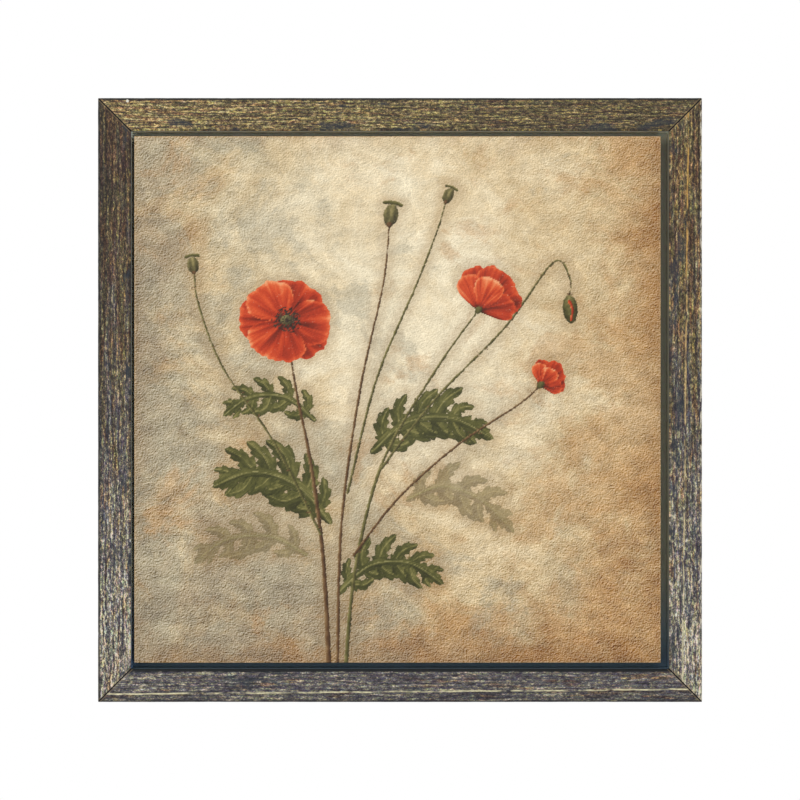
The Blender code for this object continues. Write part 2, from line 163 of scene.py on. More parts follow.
class Finish:
    """One procedural material. Each method adds a node and returns the socket that it makes."""

    def __init__(self, name, specular=0.5, metallic=0.0):
        self.material = bpy.data.materials.new(name)
        self.material.use_nodes = True
        self.tree = self.material.node_tree
        self.shader = self.tree.nodes["Principled BSDF"]
        self.shader.inputs["Specular IOR Level"].default_value = specular
        self.shader.inputs["Metallic"].default_value = metallic

    def put(self, socket, value):
        """Gives an input a number, a colour, or another node's socket."""
        if isinstance(value, bpy.types.NodeSocket):
            self.tree.links.new(value, socket)
        elif socket.type == "RGBA":
            socket.default_value = (*linear(value), 1)
        else:
            socket.default_value = value

    def node(self, kind, *values, **settings):
        """Adds a node, with its settings, and fills its first inputs in order."""
        made = self.tree.nodes.new("ShaderNode" + kind)
        for name, setting in settings.items():
            setattr(made, name, setting)
        for socket, value in zip(made.inputs, values):
            self.put(socket, value)
        return made

    def place(self):
        """Where the surface is, in metres."""
        return self.node("TexCoord").outputs["Object"]

    def measure(self, name):
        """A number that the mesh carries."""
        return self.node("Attribute", attribute_name=name).outputs["Fac"]

    def direction(self, name):
        """Three numbers that the mesh carries."""
        return self.node("Attribute", attribute_name=name).outputs["Vector"]

    def part(self, vector, axis):
        """One of a vector's three numbers, by its axis: X, Y or Z."""
        return self.node("SeparateXYZ", vector).outputs[axis]

    def towards(self, vector, direction):
        """How far a place lies in a direction, times the length of that direction."""
        return self.node("VectorMath", vector, direction, operation="DOT_PRODUCT").outputs["Value"]

    def rotated(self, vector, angle):
        """A place turned about Y, by an angle in radians."""
        made = self.node("VectorRotate", vector, rotation_type="Y_AXIS")
        made.inputs["Angle"].default_value = angle
        return made.outputs["Vector"]

    def maths(self, operation, first, second=0.0, third=0.0):
        """One sum on numbers or sockets."""
        return self.node("Math", first, second, third, operation=operation).outputs["Value"]

    def stretched(self, vector, scales, shift=(0, 0, 0)):
        """A place multiplied by one scale an axis, in cells a metre, and shifted."""
        return self.node("VectorMath", vector, scales, shift, operation="MULTIPLY_ADD").outputs["Vector"]

    def noise(self, vector, scale=1.0, detail=2.0, roughness=0.5, distortion=0.0):
        """Cloudy values round 0.5."""
        made = self.node("TexNoise", vector)
        for name, value in (("Scale", scale), ("Detail", detail), ("Roughness", roughness)):
            self.put(made.inputs[name], value)
        self.put(made.inputs["Distortion"], distortion)
        return made.outputs["Fac"]

    def tints(self, vector, strengths, shift=(0, 0, 0)):
        """Three numbers near 1, one for each of red, green and blue, that wander apart."""
        made = self.node("TexNoise", self.stretched(vector, (1, 1, 1), shift))
        rest = tuple(1 - strength / 2 for strength in strengths)
        return self.stretched(made.outputs["Color"], strengths, rest)

    def step(self, value, low, high):
        """0 below low, 1 above high, and smooth between."""
        made = self.node("MapRange", value, low, high, interpolation_type="SMOOTHSTEP")
        return made.outputs["Result"]

    def ramp(self, value, *stops):
        """A colour from a row of (place, colour) stops."""
        made = self.node("ValToRGB", value)
        marks = made.color_ramp.elements
        for number, (place, colour) in enumerate(stops):
            mark = marks[number] if number < 2 else marks.new(place)
            mark.position = place
            mark.color = (*linear(colour), 1)
        return made.outputs["Color"]

    def mix(self, factor, first, second, how="MIX"):
        """The first colour at 0, the second at 1."""
        made = self.node("Mix", data_type="RGBA", blend_type=how, clamp_result=False)
        self.put(made.inputs["Factor"], factor)
        self.put(made.inputs[6], first)
        self.put(made.inputs[7], second)
        return made.outputs[2]

    def times(self, colour, brightness):
        """A colour made brighter or darker by a number."""
        scaled = self.node("VectorMath", colour, operation="SCALE")
        self.put(scaled.inputs["Scale"], brightness)
        return scaled.outputs["Vector"]

    def tinted(self, colour, tints):
        """A colour with each of its three parts multiplied by its own number."""
        return self.node("VectorMath", colour, tints, operation="MULTIPLY").outputs["Vector"]

    def dress(self, colour, roughness, height=None, depth=0.0):
        """Feeds the shader. A height from 0 to 1 becomes a bump that is depth metres deep."""
        self.put(self.shader.inputs["Base Color"], colour)
        self.put(self.shader.inputs["Roughness"], roughness)
        if height is not None:
            bump = self.node("Bump")
            self.put(bump.inputs["Height"], height)
            bump.inputs["Distance"].default_value = depth
            self.put(self.shader.inputs["Normal"], bump.outputs["Normal"])
        return self.material

# %% [markdown]
# ## Noise for shapes
#
# Grain, dents and plaster are all shaped by slow random waves. Blender's textures can displace a mesh, but
# the same waves are needed again for colours that have to sit in the furrows, so they are worked out here
# with numpy. A fixed lattice of values is blended smoothly between its corners, and gives the same waves
# on every run.

# %% Waves and soft steps
def smooth_noise(across, up, seed=0):
    """Rolling values from 0 to 1, with about one wave in two units."""
    across, up = np.broadcast_arrays(np.asarray(across, float), np.asarray(up, float))
    column, row = np.floor(across).astype(np.int64), np.floor(up).astype(np.int64)
    right, above = across - column, up - row
    right = right * right * (3 - 2 * right)
    above = above * above * (3 - 2 * above)

    def corner(step_right, step_up):
        mixed = (column + step_right) * 374761 + (row + step_up) * 668265 + seed * 97471
        mixed = ((mixed ^ (mixed >> 7)) * 1274126177) & 0x7FFFFFFF
        mixed = ((mixed ^ (mixed >> 13)) * 1103515245) & 0x7FFFFFFF
        return (mixed >> 8) / float(0x7FFFFF)

    lower = corner(0, 0) * (1 - right) + corner(1, 0) * right
    upper = corner(0, 1) * (1 - right) + corner(1, 1) * right
    return lower * (1 - above) + upper * above


def soft_step(value, low, high):
    """0 at low, 1 at high, and smooth between. It falls instead where low is above high."""
    share = np.clip((value - low) / (high - low), 0, 1)
    return share * share * (3 - 2 * share)


sample = smooth_noise(np.arange(4000) * 0.37, 0.5, seed=3)
print("noise runs from", round(sample.min(), 2), "to", round(sample.max(), 2))

# %% [markdown]
# ## The four rails
#
# A floater frame is an L: an upright wall with the wide face in front, and a foot that runs in behind the
# canvas. Its wood was brushed with wire, which cuts the soft grain away and leaves fine furrows along each
# rail, then stained dark and rubbed over with a pale wax. A bump texture could draw furrows, but they
# would vanish at the rails' edges, where a real one has a ragged outline. So each rail is a dense sweep of
# the moulding, and every point of it is pressed in by the depth of the brushing there.

# %% The moulding's outline
INNER_ARRIS = 2.0 * MM
OUTER_ARRIS = 1.2 * MM
BACK_ARRIS = 0.6 * MM
BRUSHED_STEP = 0.5 * MM
PLAIN_STEP = 5.0 * MM


def round_corner(centre, radius, start, end, steps=3):
    """Points on a rounded corner, from one angle to another in degrees."""
    angles = np.radians(np.linspace(start, end, steps + 1))
    return [(centre[0] + radius * math.cos(a), centre[1] + radius * math.sin(a)) for a in angles]


def moulding_outline():
    """The moulding as (inset from the frame's outer edge, y), with close points where it is brushed."""
    foot_edge = FACE_WIDTH + foot_reach
    inner_centre = (FACE_WIDTH - INNER_ARRIS, front_y + INNER_ARRIS)
    outer_centre = (OUTER_ARRIS, front_y + OUTER_ARRIS)
    corners = round_corner((BACK_ARRIS, back_y - BACK_ARRIS), BACK_ARRIS, 180, 90)
    corners += [(foot_edge, back_y), (foot_edge, foot_y), (FACE_WIDTH, foot_y)]
    corners += round_corner(inner_centre, INNER_ARRIS, 0, -90)
    corners += round_corner(outer_centre, OUTER_ARRIS, -90, -180)
    outline = []
    for start, end in zip(corners, corners[1:] + corners[:1]):
        on_face = max(start[1], end[1]) < front_y + 0.1 * MM
        on_side = max(start[0], end[0]) < 0.1 * MM
        step = BRUSHED_STEP if on_face or on_side else PLAIN_STEP
        pieces = max(1, round(math.dist(start, end) / step))
        outline += [np.array(start) + (np.array(end) - start) * n / pieces for n in range(pieces)]
    return np.array(outline)


OUTLINE = moulding_outline()
print("points round the moulding:", len(OUTLINE))

# %% [markdown]
# The brush only reaches the face, its rounded inner lip and the outer side. Two masks tell the zones apart:
# the brushed wood, and the painted inside that makes the reveal. What neither covers is the bare wood
# behind. They are worked out from a point's place, so they stay right after holes have been cut.

# %% The zones of a rail
def brushed_zone(inset, y):
    """1 on the front face, its inner lip and the outer side, 0 inside and behind."""
    face = soft_step(y, front_y + 2.0 * MM, front_y + 0.5 * MM)
    lip = soft_step(inset, FACE_WIDTH - 3.0 * MM, FACE_WIDTH - 2.0 * MM)
    lip = lip * soft_step(y, front_y + 4.0 * MM, front_y + 3.0 * MM)
    side = soft_step(inset, 2.0 * MM, 0.5 * MM)
    in_front = soft_step(y, back_y - 0.1 * MM, back_y - 1.0 * MM)
    return np.maximum(np.maximum(face, lip), side) * in_front


def reveal_zone(inset, y):
    """1 on the wall beside the canvas and on the foot's front."""
    wall = soft_step(inset, FACE_WIDTH - 1.0 * MM, FACE_WIDTH - 0.3 * MM)
    under_face = soft_step(y, front_y + 1.0 * MM, front_y + 2.0 * MM)
    on_foot = soft_step(y, foot_y + 1.2 * MM, foot_y + 0.2 * MM)
    return wall * under_face * on_foot


share_brushed = brushed_zone(OUTLINE[:, 0], OUTLINE[:, 1]).mean()
print("share of the moulding's points that are brushed:", round(float(share_brushed), 2))

# %% [markdown]
# The depth is a sum of waves stretched along the rail: furrows about 20 mm long and 1 mm wide, bent a
# little so that none runs straight, finer fibres, a few deep splits, and knocks along the two front edges.
# At a mitre the edges are eased, which gives the thin dark line of the joint.

# %% How deep the wood is worn
DENTS_A_RAIL = 16
JOINT_EASE = 0.45 * MM


def furrow_depth(along, across, number):
    """The brushing, in metres. Along and across are places on the rail in metres."""
    bend = smooth_noise(along / (13 * MM), across / (7 * MM), number + 60)
    across = across + 2.2 * MM * (bend - 0.5)
    furrows = smooth_noise(along / (21 * MM), across / (0.75 * MM), number)
    fibres = smooth_noise(along / (8 * MM), across / (0.6 * MM), number + 10)
    drift = smooth_noise(along / (60 * MM), across / (5 * MM), number + 20)
    splits = smooth_noise(along / (26 * MM), across / (0.9 * MM), number + 30)
    depth = 0.11 * (1 - furrows) + 0.06 * (1 - fibres) + 0.07 * drift
    return (depth + 0.24 * soft_step(splits, 0.82, 0.97)) * MM


def knock_depth(along, across, number):
    """Nicks on the outer and inner edges of the face, and dents on it."""
    outer_edge = np.exp(-((across / (1.3 * MM)) ** 2))
    inner_edge = np.exp(-(((across - FACE_WIDTH + 0.8 * MM) / (1.0 * MM)) ** 2))
    outer_nicks = soft_step(smooth_noise(along / (4.5 * MM), 0.3, number + 40), 0.74, 0.95)
    inner_nicks = soft_step(smooth_noise(along / (6.0 * MM), 0.7, number + 50), 0.80, 0.97)
    depth = (0.42 * outer_nicks * outer_edge + 0.30 * inner_nicks * inner_edge) * MM
    dice = np.random.default_rng(100 + number)
    for _ in range(DENTS_A_RAIL):
        middle = dice.uniform(-frame_half, frame_half)
        from_edge = dice.uniform(-0.4, 1.0) * FACE_WIDTH
        reach = dice.uniform(0.8, 2.2) * MM
        apart = ((along - middle) / (reach * 2.2)) ** 2 + ((across - from_edge) / reach) ** 2
        depth = depth + 0.20 * MM * np.exp(-apart)
    return depth


def joint_distance(along, inset):
    """How far a point is from the nearer mitre."""
    return (frame_half - inset - np.abs(along)) / math.sqrt(2)


def worn_depth(along, inset, y, number):
    """All the wear at a point of a rail, in metres."""
    across = inset - (y - front_y)
    worn = furrow_depth(along, across, number) + knock_depth(along, across, number)
    eased = 0.40 * MM * np.exp(-((joint_distance(along, inset) / JOINT_EASE) ** 2))
    sawn = 0.05 * MM * smooth_noise(along / (1.7 * MM), across / (9 * MM), number + 60)
    zone = brushed_zone(inset, y)
    return zone * np.maximum(worn, eased) + (1 - zone) * sawn


face_wear = worn_depth(np.linspace(-0.8, 0.8, 2000) * frame_half, FACE_WIDTH / 2, front_y, 0) / MM
print("wear in mm along the middle of a face: mean", round(face_wear.mean(), 2),
      "most", round(face_wear.max(), 2))

# %% [markdown]
# A rail is modelled along X as the top one. Its stations are 2 mm apart and crowd together at the mitres.
# Each ring is scaled so that every point keeps to the 45 degree cut, however deep it was pressed in.

# %% Sweep one rail
STATION_STEP = 2.0 * MM
MITRE_STATIONS = (0.0, 0.25 * MM, 0.6 * MM, 1.1 * MM)
OUTLINE_TOWARDS_WOOD = np.roll(OUTLINE, -1, axis=0) - np.roll(OUTLINE, 1, axis=0)
OUTLINE_TOWARDS_WOOD = np.stack([OUTLINE_TOWARDS_WOOD[:, 1], -OUTLINE_TOWARDS_WOOD[:, 0]], axis=1)
OUTLINE_TOWARDS_WOOD /= np.linalg.norm(OUTLINE_TOWARDS_WOOD, axis=1, keepdims=True)


def stations():
    """Places along the outer edge, from one end to the other."""
    ends = np.array(MITRE_STATIONS)
    count = round(2 * (frame_half - 2 * MM) / STATION_STEP)
    middle = np.linspace(-frame_half + 2 * MM, frame_half - 2 * MM, count + 1)
    return np.concatenate([ends - frame_half, middle, (frame_half - ends)[::-1]])


def swept_rail(number):
    """Points and faces of a rail along X, as (along, y, up from the frame's middle)."""
    share = stations()[:, None] / frame_half
    inset, y = OUTLINE[None, :, 0], OUTLINE[None, :, 1]
    depth = worn_depth(share * (frame_half - inset), inset, y, number)
    inset = inset + OUTLINE_TOWARDS_WOOD[None, :, 0] * depth
    y = y + OUTLINE_TOWARDS_WOOD[None, :, 1] * depth
    along = share * (frame_half - inset)
    points = np.stack([along, y, frame_half - inset], axis=-1).reshape(-1, 3)
    rings, around = len(share), len(OUTLINE)
    first = (np.arange(rings - 1)[:, None] * around + np.arange(around)[None, :]).ravel()
    after = (np.arange(rings - 1)[:, None] * around + (np.arange(around)[None, :] + 1) % around).ravel()
    faces = np.stack([first, first + around, after + around, after], axis=1).tolist()
    faces.append(list(range(around)))
    faces.append(list(range((rings - 1) * around, rings * around))[::-1])
    return points, faces


trial_points, trial_faces = swept_rail(0)
print("one rail has", len(trial_points), "points and", len(trial_faces), "faces")

# %% [markdown]
# ## Holes for the hardware
#
# Behind, screws and bent corner nails sit in the wood. Their solids are kept from the model, so each rail
# needs the same holes, a hair wider than the metal. Each hole is a small closed solid. All the holes of a
# rail are gathered in one mesh and taken out of the rail by one Boolean.

# %% Solids for the holes
HOLE_AIR = 0.3 * MM
HOLE_LEAD = 1.0 * MM
ROUND_SIDES = 20
SIDES = {"top": 0.0, "right": 90.0, "bottom": 180.0, "left": 270.0}
print("air round the hardware:", HOLE_AIR / MM, "mm")


def turned_about(centre, degrees):
    """The matrix that carries a shape made for the top side, or top right corner, to another."""
    return Matrix.Translation(centre) @ Matrix.Rotation(math.radians(degrees), 4, "Y")


def turned_hole(bm, place, profile):
    """Adds a solid turned about Y. The profile is (radius, y) from one pole to the other."""
    rings = []
    for radius, y in profile:
        sides = ROUND_SIDES if radius else 1
        turns = [2 * math.pi * k / sides for k in range(sides)]
        corners = [(radius * math.cos(turn), y, radius * math.sin(turn)) for turn in turns]
        rings.append([bm.verts.new(place @ Vector(corner)) for corner in corners])
    for first, second in zip(rings, rings[1:]):
        for k in range(ROUND_SIDES):
            after = (k + 1) % ROUND_SIDES
            corners = [first[k % len(first)], first[after % len(first)]]
            corners += [second[after % len(second)], second[k % len(second)]]
            bm.faces.new(dict.fromkeys(corners))


def slot_hole(bm, place, outline, y_from, y_to):
    """Adds a flat outline of (x, z) points with thickness along Y."""
    near = [bm.verts.new(place @ Vector((x, y_from, z))) for x, z in outline]
    far = [bm.verts.new(place @ Vector((x, y_to, z))) for x, z in outline]
    bm.faces.new(near)
    bm.faces.new(far[::-1])
    for k in range(len(outline)):
        after = (k + 1) % len(outline)
        bm.faces.new((near[after], near[k], far[k], far[after]))


# %% [markdown]
# The fixing screws are countersunk through the foot, two a side. Two bent nails close each mitre, one
# behind the wall and one in the foot. Two round-headed screws hold the sawtooth hanger to the top rail.

# %% Where the holes are
SCREW_PLACES = (-150 * MM, 150 * MM)
SCREW_INSET = FACE_WIDTH + 17 * MM
SCREW_HEAD, SCREW_SHANK = 3.6 * MM + HOLE_AIR, 1.7 * MM + HOLE_AIR
SCREW_SINK = 0.2 * MM
SCREW_PROFILE = [(0, HOLE_LEAD), (SCREW_HEAD, HOLE_LEAD), (SCREW_HEAD, 0), (SCREW_SHANK, -2.6 * MM)]
SCREW_PROFILE += [(SCREW_SHANK, -15.8 * MM), (0, -19.3 * MM)]

NAIL_INSETS = (17 * MM, 45 * MM)
NAIL_LEG, NAIL_HALF, NAIL_DEEP = 8 * MM + HOLE_AIR, 0.3 * MM + HOLE_AIR, 7 * MM + HOLE_AIR
NAIL_OUTLINE = [(NAIL_HALF, NAIL_HALF), (-NAIL_LEG, NAIL_HALF), (-NAIL_LEG, -NAIL_HALF)]
NAIL_OUTLINE += [(-NAIL_HALF, -NAIL_HALF), (-NAIL_HALF, -NAIL_LEG), (NAIL_HALF, -NAIL_LEG)]

TAB_PLACES = (-21.2 * MM, 21.2 * MM)
TAB_Z = 3.8 * MM
TAB_PROFILE = [(0, HOLE_LEAD), (1.3 * MM, HOLE_LEAD), (1.3 * MM, -10.3 * MM), (0, -10.3 * MM)]
print("holes in a rail:", len(SCREW_PLACES) + 2 * len(NAIL_INSETS),
      "and in the top one", len(TAB_PLACES), "more")


def rail_holes(side):
    """One mesh with every hole that a rail needs."""
    bm = bmesh.new()
    turn = SIDES[side]
    for along in SCREW_PLACES:
        local = Matrix.Translation((along, back_y - SCREW_SINK, frame_half - SCREW_INSET))
        turned_hole(bm, turned_about(frame_centre, turn) @ local, SCREW_PROFILE)
    for corner_turn in (turn, turn - 90):
        for inset in NAIL_INSETS:
            corner = frame_half - inset
            place = turned_about(frame_centre, corner_turn) @ Matrix.Translation((corner, back_y, corner))
            slot_hole(bm, place, NAIL_OUTLINE, HOLE_LEAD, -NAIL_DEEP)
    if side == "top":
        for x in TAB_PLACES:
            turned_hole(bm, Matrix.Translation((x, back_y, TAB_Z)), TAB_PROFILE)
    bmesh.ops.recalc_face_normals(bm, faces=bm.faces)
    mesh = bpy.data.meshes.new("rail_holes_" + side)
    bm.to_mesh(mesh)
    bm.free()
    return mesh


# %% [markdown]
# After the cut, each point's place gives what the finish needs to know there: where it is along and across
# the grain, how deep it is worn, which zone it is in, and how near a mitre is. These numbers are stored on
# the mesh, and the material reads them.

# %% Build a rail
def store_number(mesh, name, values):
    layer = mesh.attributes.new(name, "FLOAT", "POINT")
    layer.data.foreach_set("value", np.ascontiguousarray(values, np.float32))


def store_vector(mesh, name, values):
    layer = mesh.attributes.new(name, "FLOAT_VECTOR", "POINT")
    layer.data.foreach_set("vector", np.ascontiguousarray(values, np.float32).ravel())


def mesh_points(mesh):
    found = np.empty(len(mesh.vertices) * 3, np.float32)
    mesh.vertices.foreach_get("co", found)
    return found.reshape(-1, 3).astype(float)


def cut_away(obj, holes_mesh):
    """Takes the holes out of the piece's mesh for good."""
    holes = bpy.data.objects.new("holes", holes_mesh)
    bpy.context.scene.collection.objects.link(holes)
    cut = obj.modifiers.new("holes", "BOOLEAN")
    cut.operation = "DIFFERENCE"
    cut.object = holes
    cut.solver = "MANIFOLD"
    seen = bpy.context.evaluated_depsgraph_get()
    mesh = bpy.data.meshes.new_from_object(obj.evaluated_get(seen))
    obj.modifiers.remove(cut)
    obj.data = mesh
    bpy.data.objects.remove(holes)


def make_rail(side, number):
    """One rail, swept, cut and marked, in its place."""
    points, faces = swept_rail(number)
    place = turned_about(frame_centre, SIDES[side])
    turn = np.array(place.to_3x3())
    mesh = bpy.data.meshes.new("brushed_rail_" + side)
    mesh.from_pydata(points @ turn.T + np.array(frame_centre), [], faces)
    rail = bpy.data.objects.new("brushed_rail_" + side, mesh)
    bpy.context.scene.collection.objects.link(rail)
    cut_away(rail, rail_holes(side))
    mesh = rail.data
    mesh.shade_smooth()
    mesh.set_sharp_from_angle(angle=math.radians(50))
    local = (mesh_points(mesh) - np.array(frame_centre)) @ turn
    along, y, inset = local[:, 0], local[:, 1], frame_half - local[:, 2]
    store_vector(mesh, "grain", np.stack([along, inset - (y - front_y), np.full(len(y), number * 7.3)], 1))
    store_number(mesh, "worn", worn_depth(along, inset, y, number) / MM)
    store_number(mesh, "brushed", brushed_zone(inset, y))
    store_number(mesh, "reveal", reveal_zone(inset, y))
    store_number(mesh, "joint", joint_distance(along, inset) / MM)
    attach(rail, "root")
    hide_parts("rail_" + side)
    return rail


rails = {side: make_rail(side, number) for number, side in enumerate(SIDES)}
print("faces in each rail:", {side: len(rail.data.polygons) for side, rail in rails.items()})

# %% [markdown]
# ## The brushed finish
#
# The wood was stained nearly black, waxed with a pale straw colour, and rubbed back. The wax stays on the
# high fibres and the dark stain in the furrows, so the colour follows the same streaks as the shape. The
# looks differ from rail to rail: warmer and golden towards the top of the frame, cooler and greyer towards
# the bottom. The inside paint's brightness differs from rail to rail too, as painted light and shade in the
# gap beside the canvas. Two rails have one long groove that took more wax than the rest. Tone, copper and
# contrast are written as values for the two ends and the middle of a rail, or as one value for all of it.

# %% How each rail looks
# In each rail, the first three values of the second row set the painted light and shade of the gap beside
# the canvas, and the last value of the third row sets the painted shade on the inner lip.
RAIL_LOOKS = {
    "top": {
        "tone": (0.27, 0.08, -0.06), "copper": (0.06, -0.02, 0.0), "contrast": 0.98,
        "painted_gap_shading": 0.9, "wall": 1.3, "foot": 1.7, "cool": 0.3,
        "dark_outer": 0.95, "nicks": 0.0, "lip_shade": 0.12,
        "line_inset": 0.0, "line_slope": 0.0, "line_strength": 0.0, "dark_strip": 0.0,
    },
    "right": {
        "tone": (-0.06, 0.0, 0.46), "copper": (0.11, 0.03, -0.04), "contrast": 0.90,
        "painted_gap_shading": 1.0, "wall": 1.05, "foot": 1.8, "cool": 0.1,
        "dark_outer": 0.0, "nicks": 0.95, "lip_shade": 0.10,
        "line_inset": 16.0, "line_slope": 6.0, "line_strength": 0.8, "dark_strip": 0.0,
    },
    "bottom": {
        "tone": (0.0, -0.04, 0.08), "copper": (0.02, -0.03, -0.03), "contrast": 0.86,
        "painted_gap_shading": 1.3, "wall": 0.75, "foot": 1.65, "cool": 0.0,
        "dark_outer": 0.55, "nicks": 0.0, "lip_shade": 1.0,
        "line_inset": 10.0, "line_slope": -5.0, "line_strength": 0.9, "dark_strip": 0.24,
    },
    "left": {
        "tone": (0.40, -0.12, -0.38), "copper": (-0.02, 0.03, 0.10), "contrast": 1.10,
        "painted_gap_shading": 1.8, "wall": 1.2, "foot": 1.15, "cool": 0.6,
        "dark_outer": 0.85, "nicks": 0.1, "lip_shade": 0.12,
        "line_inset": 8.0, "line_slope": 18.0, "line_strength": 0.0, "dark_strip": 0.20,
    },
}
SAME_ALL_ALONG = ("painted_gap_shading", "wall", "foot", "cool", "dark_outer", "nicks", "lip_shade")
SAME_ALL_ALONG += ("line_strength", "dark_strip")


def store_looks(side):
    """Puts a rail's looks on its mesh, point by point, for the material to read."""
    mesh, look = rails[side].data, RAIL_LOOKS[side]
    grain = np.empty(len(mesh.vertices) * 3, np.float32)
    mesh.attributes["grain"].data.foreach_get("vector", grain)
    share = grain.reshape(-1, 3)[:, 0] / (2 * frame_half) + 0.5
    tone, copper = (np.interp(share, (0.1, 0.5, 0.9), look[name]) for name in ("tone", "copper"))
    store_number(mesh, "tone", tone)
    store_number(mesh, "copper", copper)
    store_number(mesh, "contrast", look["contrast"] * (2.2 + 1.1 * tone))
    store_number(mesh, "line_inset", (look["line_inset"] + look["line_slope"] * (share - 0.5)) * MM)
    for name in SAME_ALL_ALONG:
        store_number(mesh, name, np.full(len(share), look[name]))


for side in SIDES:
    store_looks(side)
print("looks stored on the rails:", [layer.name for layer in rails["top"].data.attributes])

# %% [markdown]
# How much wax there is depends on four sizes of streak, all drawn out along the grain: long lines, slow
# bands, short streaks and single fibres. The grain they follow is bent a little first, as it is in wood.
# Where the shape is worn deep there is less wax.

# %% How the wax lies
def bent_grain(finish):
    """The place on the rail, along and across, with a slow wander of up to 1.8 mm across."""
    grain = finish.direction("grain")
    bend = finish.noise(finish.stretched(grain, (85, 120, 1), (2, 2, 9)), detail=3, roughness=0.6)
    bend = finish.maths("MULTIPLY_ADD", bend, 3.6 * MM, -1.8 * MM)
    wander = finish.node("CombineXYZ", 0.0, bend).outputs["Vector"]
    return finish.node("VectorMath", grain, wander).outputs["Vector"]


def wax_on(finish):
    """How much pale wax there is at a place, from 0 to 1, and the height of the grain."""
    grain = bent_grain(finish)
    long_lines = finish.noise(finish.stretched(grain, (15, 560, 1), (0, 4, 7)), detail=3, roughness=0.55)
    bands = finish.noise(finish.stretched(grain, (46, 480, 1), (2, 6, 0)), detail=1)
    streaks = finish.noise(finish.stretched(grain, (210, 480, 1)), detail=3, roughness=0.72)
    fibres = finish.noise(finish.stretched(grain, (700, 1300, 1), (9, 0, 0)), detail=2, roughness=0.6)
    shares = ((streaks, 1.0), (fibres, 0.66), (long_lines, 0.58), (bands, 0.27))
    pattern = -0.5 * sum(share for texture, share in shares)
    for texture, share in shares:
        pattern = finish.maths("MULTIPLY_ADD", texture, share, pattern)
    wax = finish.maths("MULTIPLY_ADD", finish.measure("tone"), 0.45, 0.48)
    wax = finish.maths("MULTIPLY_ADD", pattern, finish.measure("contrast"), wax)
    wax = finish.maths("MULTIPLY_ADD", finish.measure("worn"), -0.75, wax)
    return wax, finish.maths("ADD", streaks, fibres)


# %% [markdown]
# Wax over dark stain gives more than one line of colours. Three ramps run from bare stain to thick wax:
# golden, coppery and grey. Slow noise and the height choose between them, and a fine tint makes
# neighbouring fibres differ.

# %% Colours of the wood
WARM_WOOD = ((0.0, (42, 35, 29)), (0.30, (77, 66, 49)), (0.54, (113, 100, 68)), (0.74, (165, 145, 90)))
WARM_WOOD += ((1.0, (226, 206, 146)),)
COOL_WOOD = ((0.0, (44, 41, 48)), (0.30, (77, 72, 78)), (0.54, (106, 103, 99)), (0.74, (160, 151, 128)))
COOL_WOOD += ((1.0, (228, 219, 192)),)
COPPER_WOOD = ((0.0, (48, 32, 27)), (0.30, (86, 61, 46)), (0.54, (126, 96, 66)), (0.76, (182, 142, 92)))
COPPER_WOOD += ((1.0, (232, 194, 138)),)


def height_share(finish):
    """0 at the frame's lower edge, 1 at its upper edge."""
    height = finish.part(finish.place(), "Z")
    return finish.node("MapRange", height, frame_low.z, frame_high.z).outputs["Result"]


def wood_colour(finish, grain, wax):
    """Golden above, grey below, with coppery lengths between."""
    warm, cool, copper = (finish.ramp(wax, *stops) for stops in (WARM_WOOD, COOL_WOOD, COPPER_WOOD))
    coppery = finish.noise(finish.stretched(grain, (28, 240, 1), (6, 1, 5)), detail=3, roughness=0.6)
    coppery = finish.step(finish.maths("ADD", coppery, finish.measure("copper")), 0.54, 0.66)
    warm = finish.mix(finish.maths("MULTIPLY", coppery, 0.75), warm, copper)
    cool = finish.mix(finish.maths("MULTIPLY", coppery, 0.60), cool, copper)
    drift = finish.noise(finish.stretched(grain, (14, 150, 1), (8, 6, 2)), detail=3)
    coolness = finish.maths("MULTIPLY_ADD", height_share(finish), -0.58, 0.11)
    coolness = finish.maths("MULTIPLY_ADD", drift, 0.9, coolness)
    wood = finish.mix(finish.step(coolness, 0.06, 0.44), warm, cool)
    fine = finish.tints(finish.stretched(grain, (150, 430, 1)), (1.1, 0.6, 1.7))
    broad = finish.tints(finish.stretched(grain, (24, 150, 1)), (0.8, 0.4, 1.4), (4, 4, 4))
    return finish.tinted(finish.tinted(wood, fine), broad)


# %% [markdown]
# The inside of the frame is painted grey, bluer along the bottom. Its brightness there is painted light and
# shade for the gap beside the canvas: paler at the top, darker on the wall near the face, paler deep in,
# and each rail has its own amounts on the wall and on the foot.

# %% The inside paint
# Grey paint, bluer along the bottom. The pale last stop, at the top, is painted light in the gap under the
# top rail.
REVEAL = ((0.06, (80, 99, 113)), (0.22, (122, 124, 108)), (0.925, (122, 122, 108)), (0.94, (168, 168, 148)))
NEAR_FACE_SHADE, DEEP_WALL_LIGHT = 0.2, 1.85  # on the wall, near the face and deep in
COOLER = (0.92, 1.06, 1.5)  # what turns the paint bluer, on the rails that ask for it


def reveal_paint_and_shading(finish, grain):
    """The grey paint of the inside, with painted shade near the face and painted light deep in and on the
    foot.
    """
    paint = finish.ramp(height_share(finish), *REVEAL)
    depth = finish.part(finish.place(), "Y")
    # Painted shade on the wall near the face, and painted light deeper in and on the foot, in each rail's
    # amounts.
    on_foot = finish.step(depth, foot_y - 3 * MM, foot_y - 1 * MM)
    deep = finish.step(depth, front_y + 1 * MM, front_y + 12 * MM)
    thickness = finish.maths("MULTIPLY_ADD", deep, DEEP_WALL_LIGHT - NEAR_FACE_SHADE, NEAR_FACE_SHADE)
    wall = finish.maths("MULTIPLY", finish.measure("wall"), thickness)
    foot_more = finish.maths("SUBTRACT", finish.measure("foot"), wall)
    painted_gap_shading = finish.maths("MULTIPLY_ADD", on_foot, foot_more, wall)
    paint = finish.mix(finish.measure("cool"), paint, finish.tinted(paint, COOLER))
    paint = finish.times(paint, finish.maths("MULTIPLY", painted_gap_shading, finish.measure("painted_gap_shading")))
    return finish.tinted(paint, finish.tints(finish.stretched(grain, (60, 300, 300)), (0.6, 0.5, 0.6)))


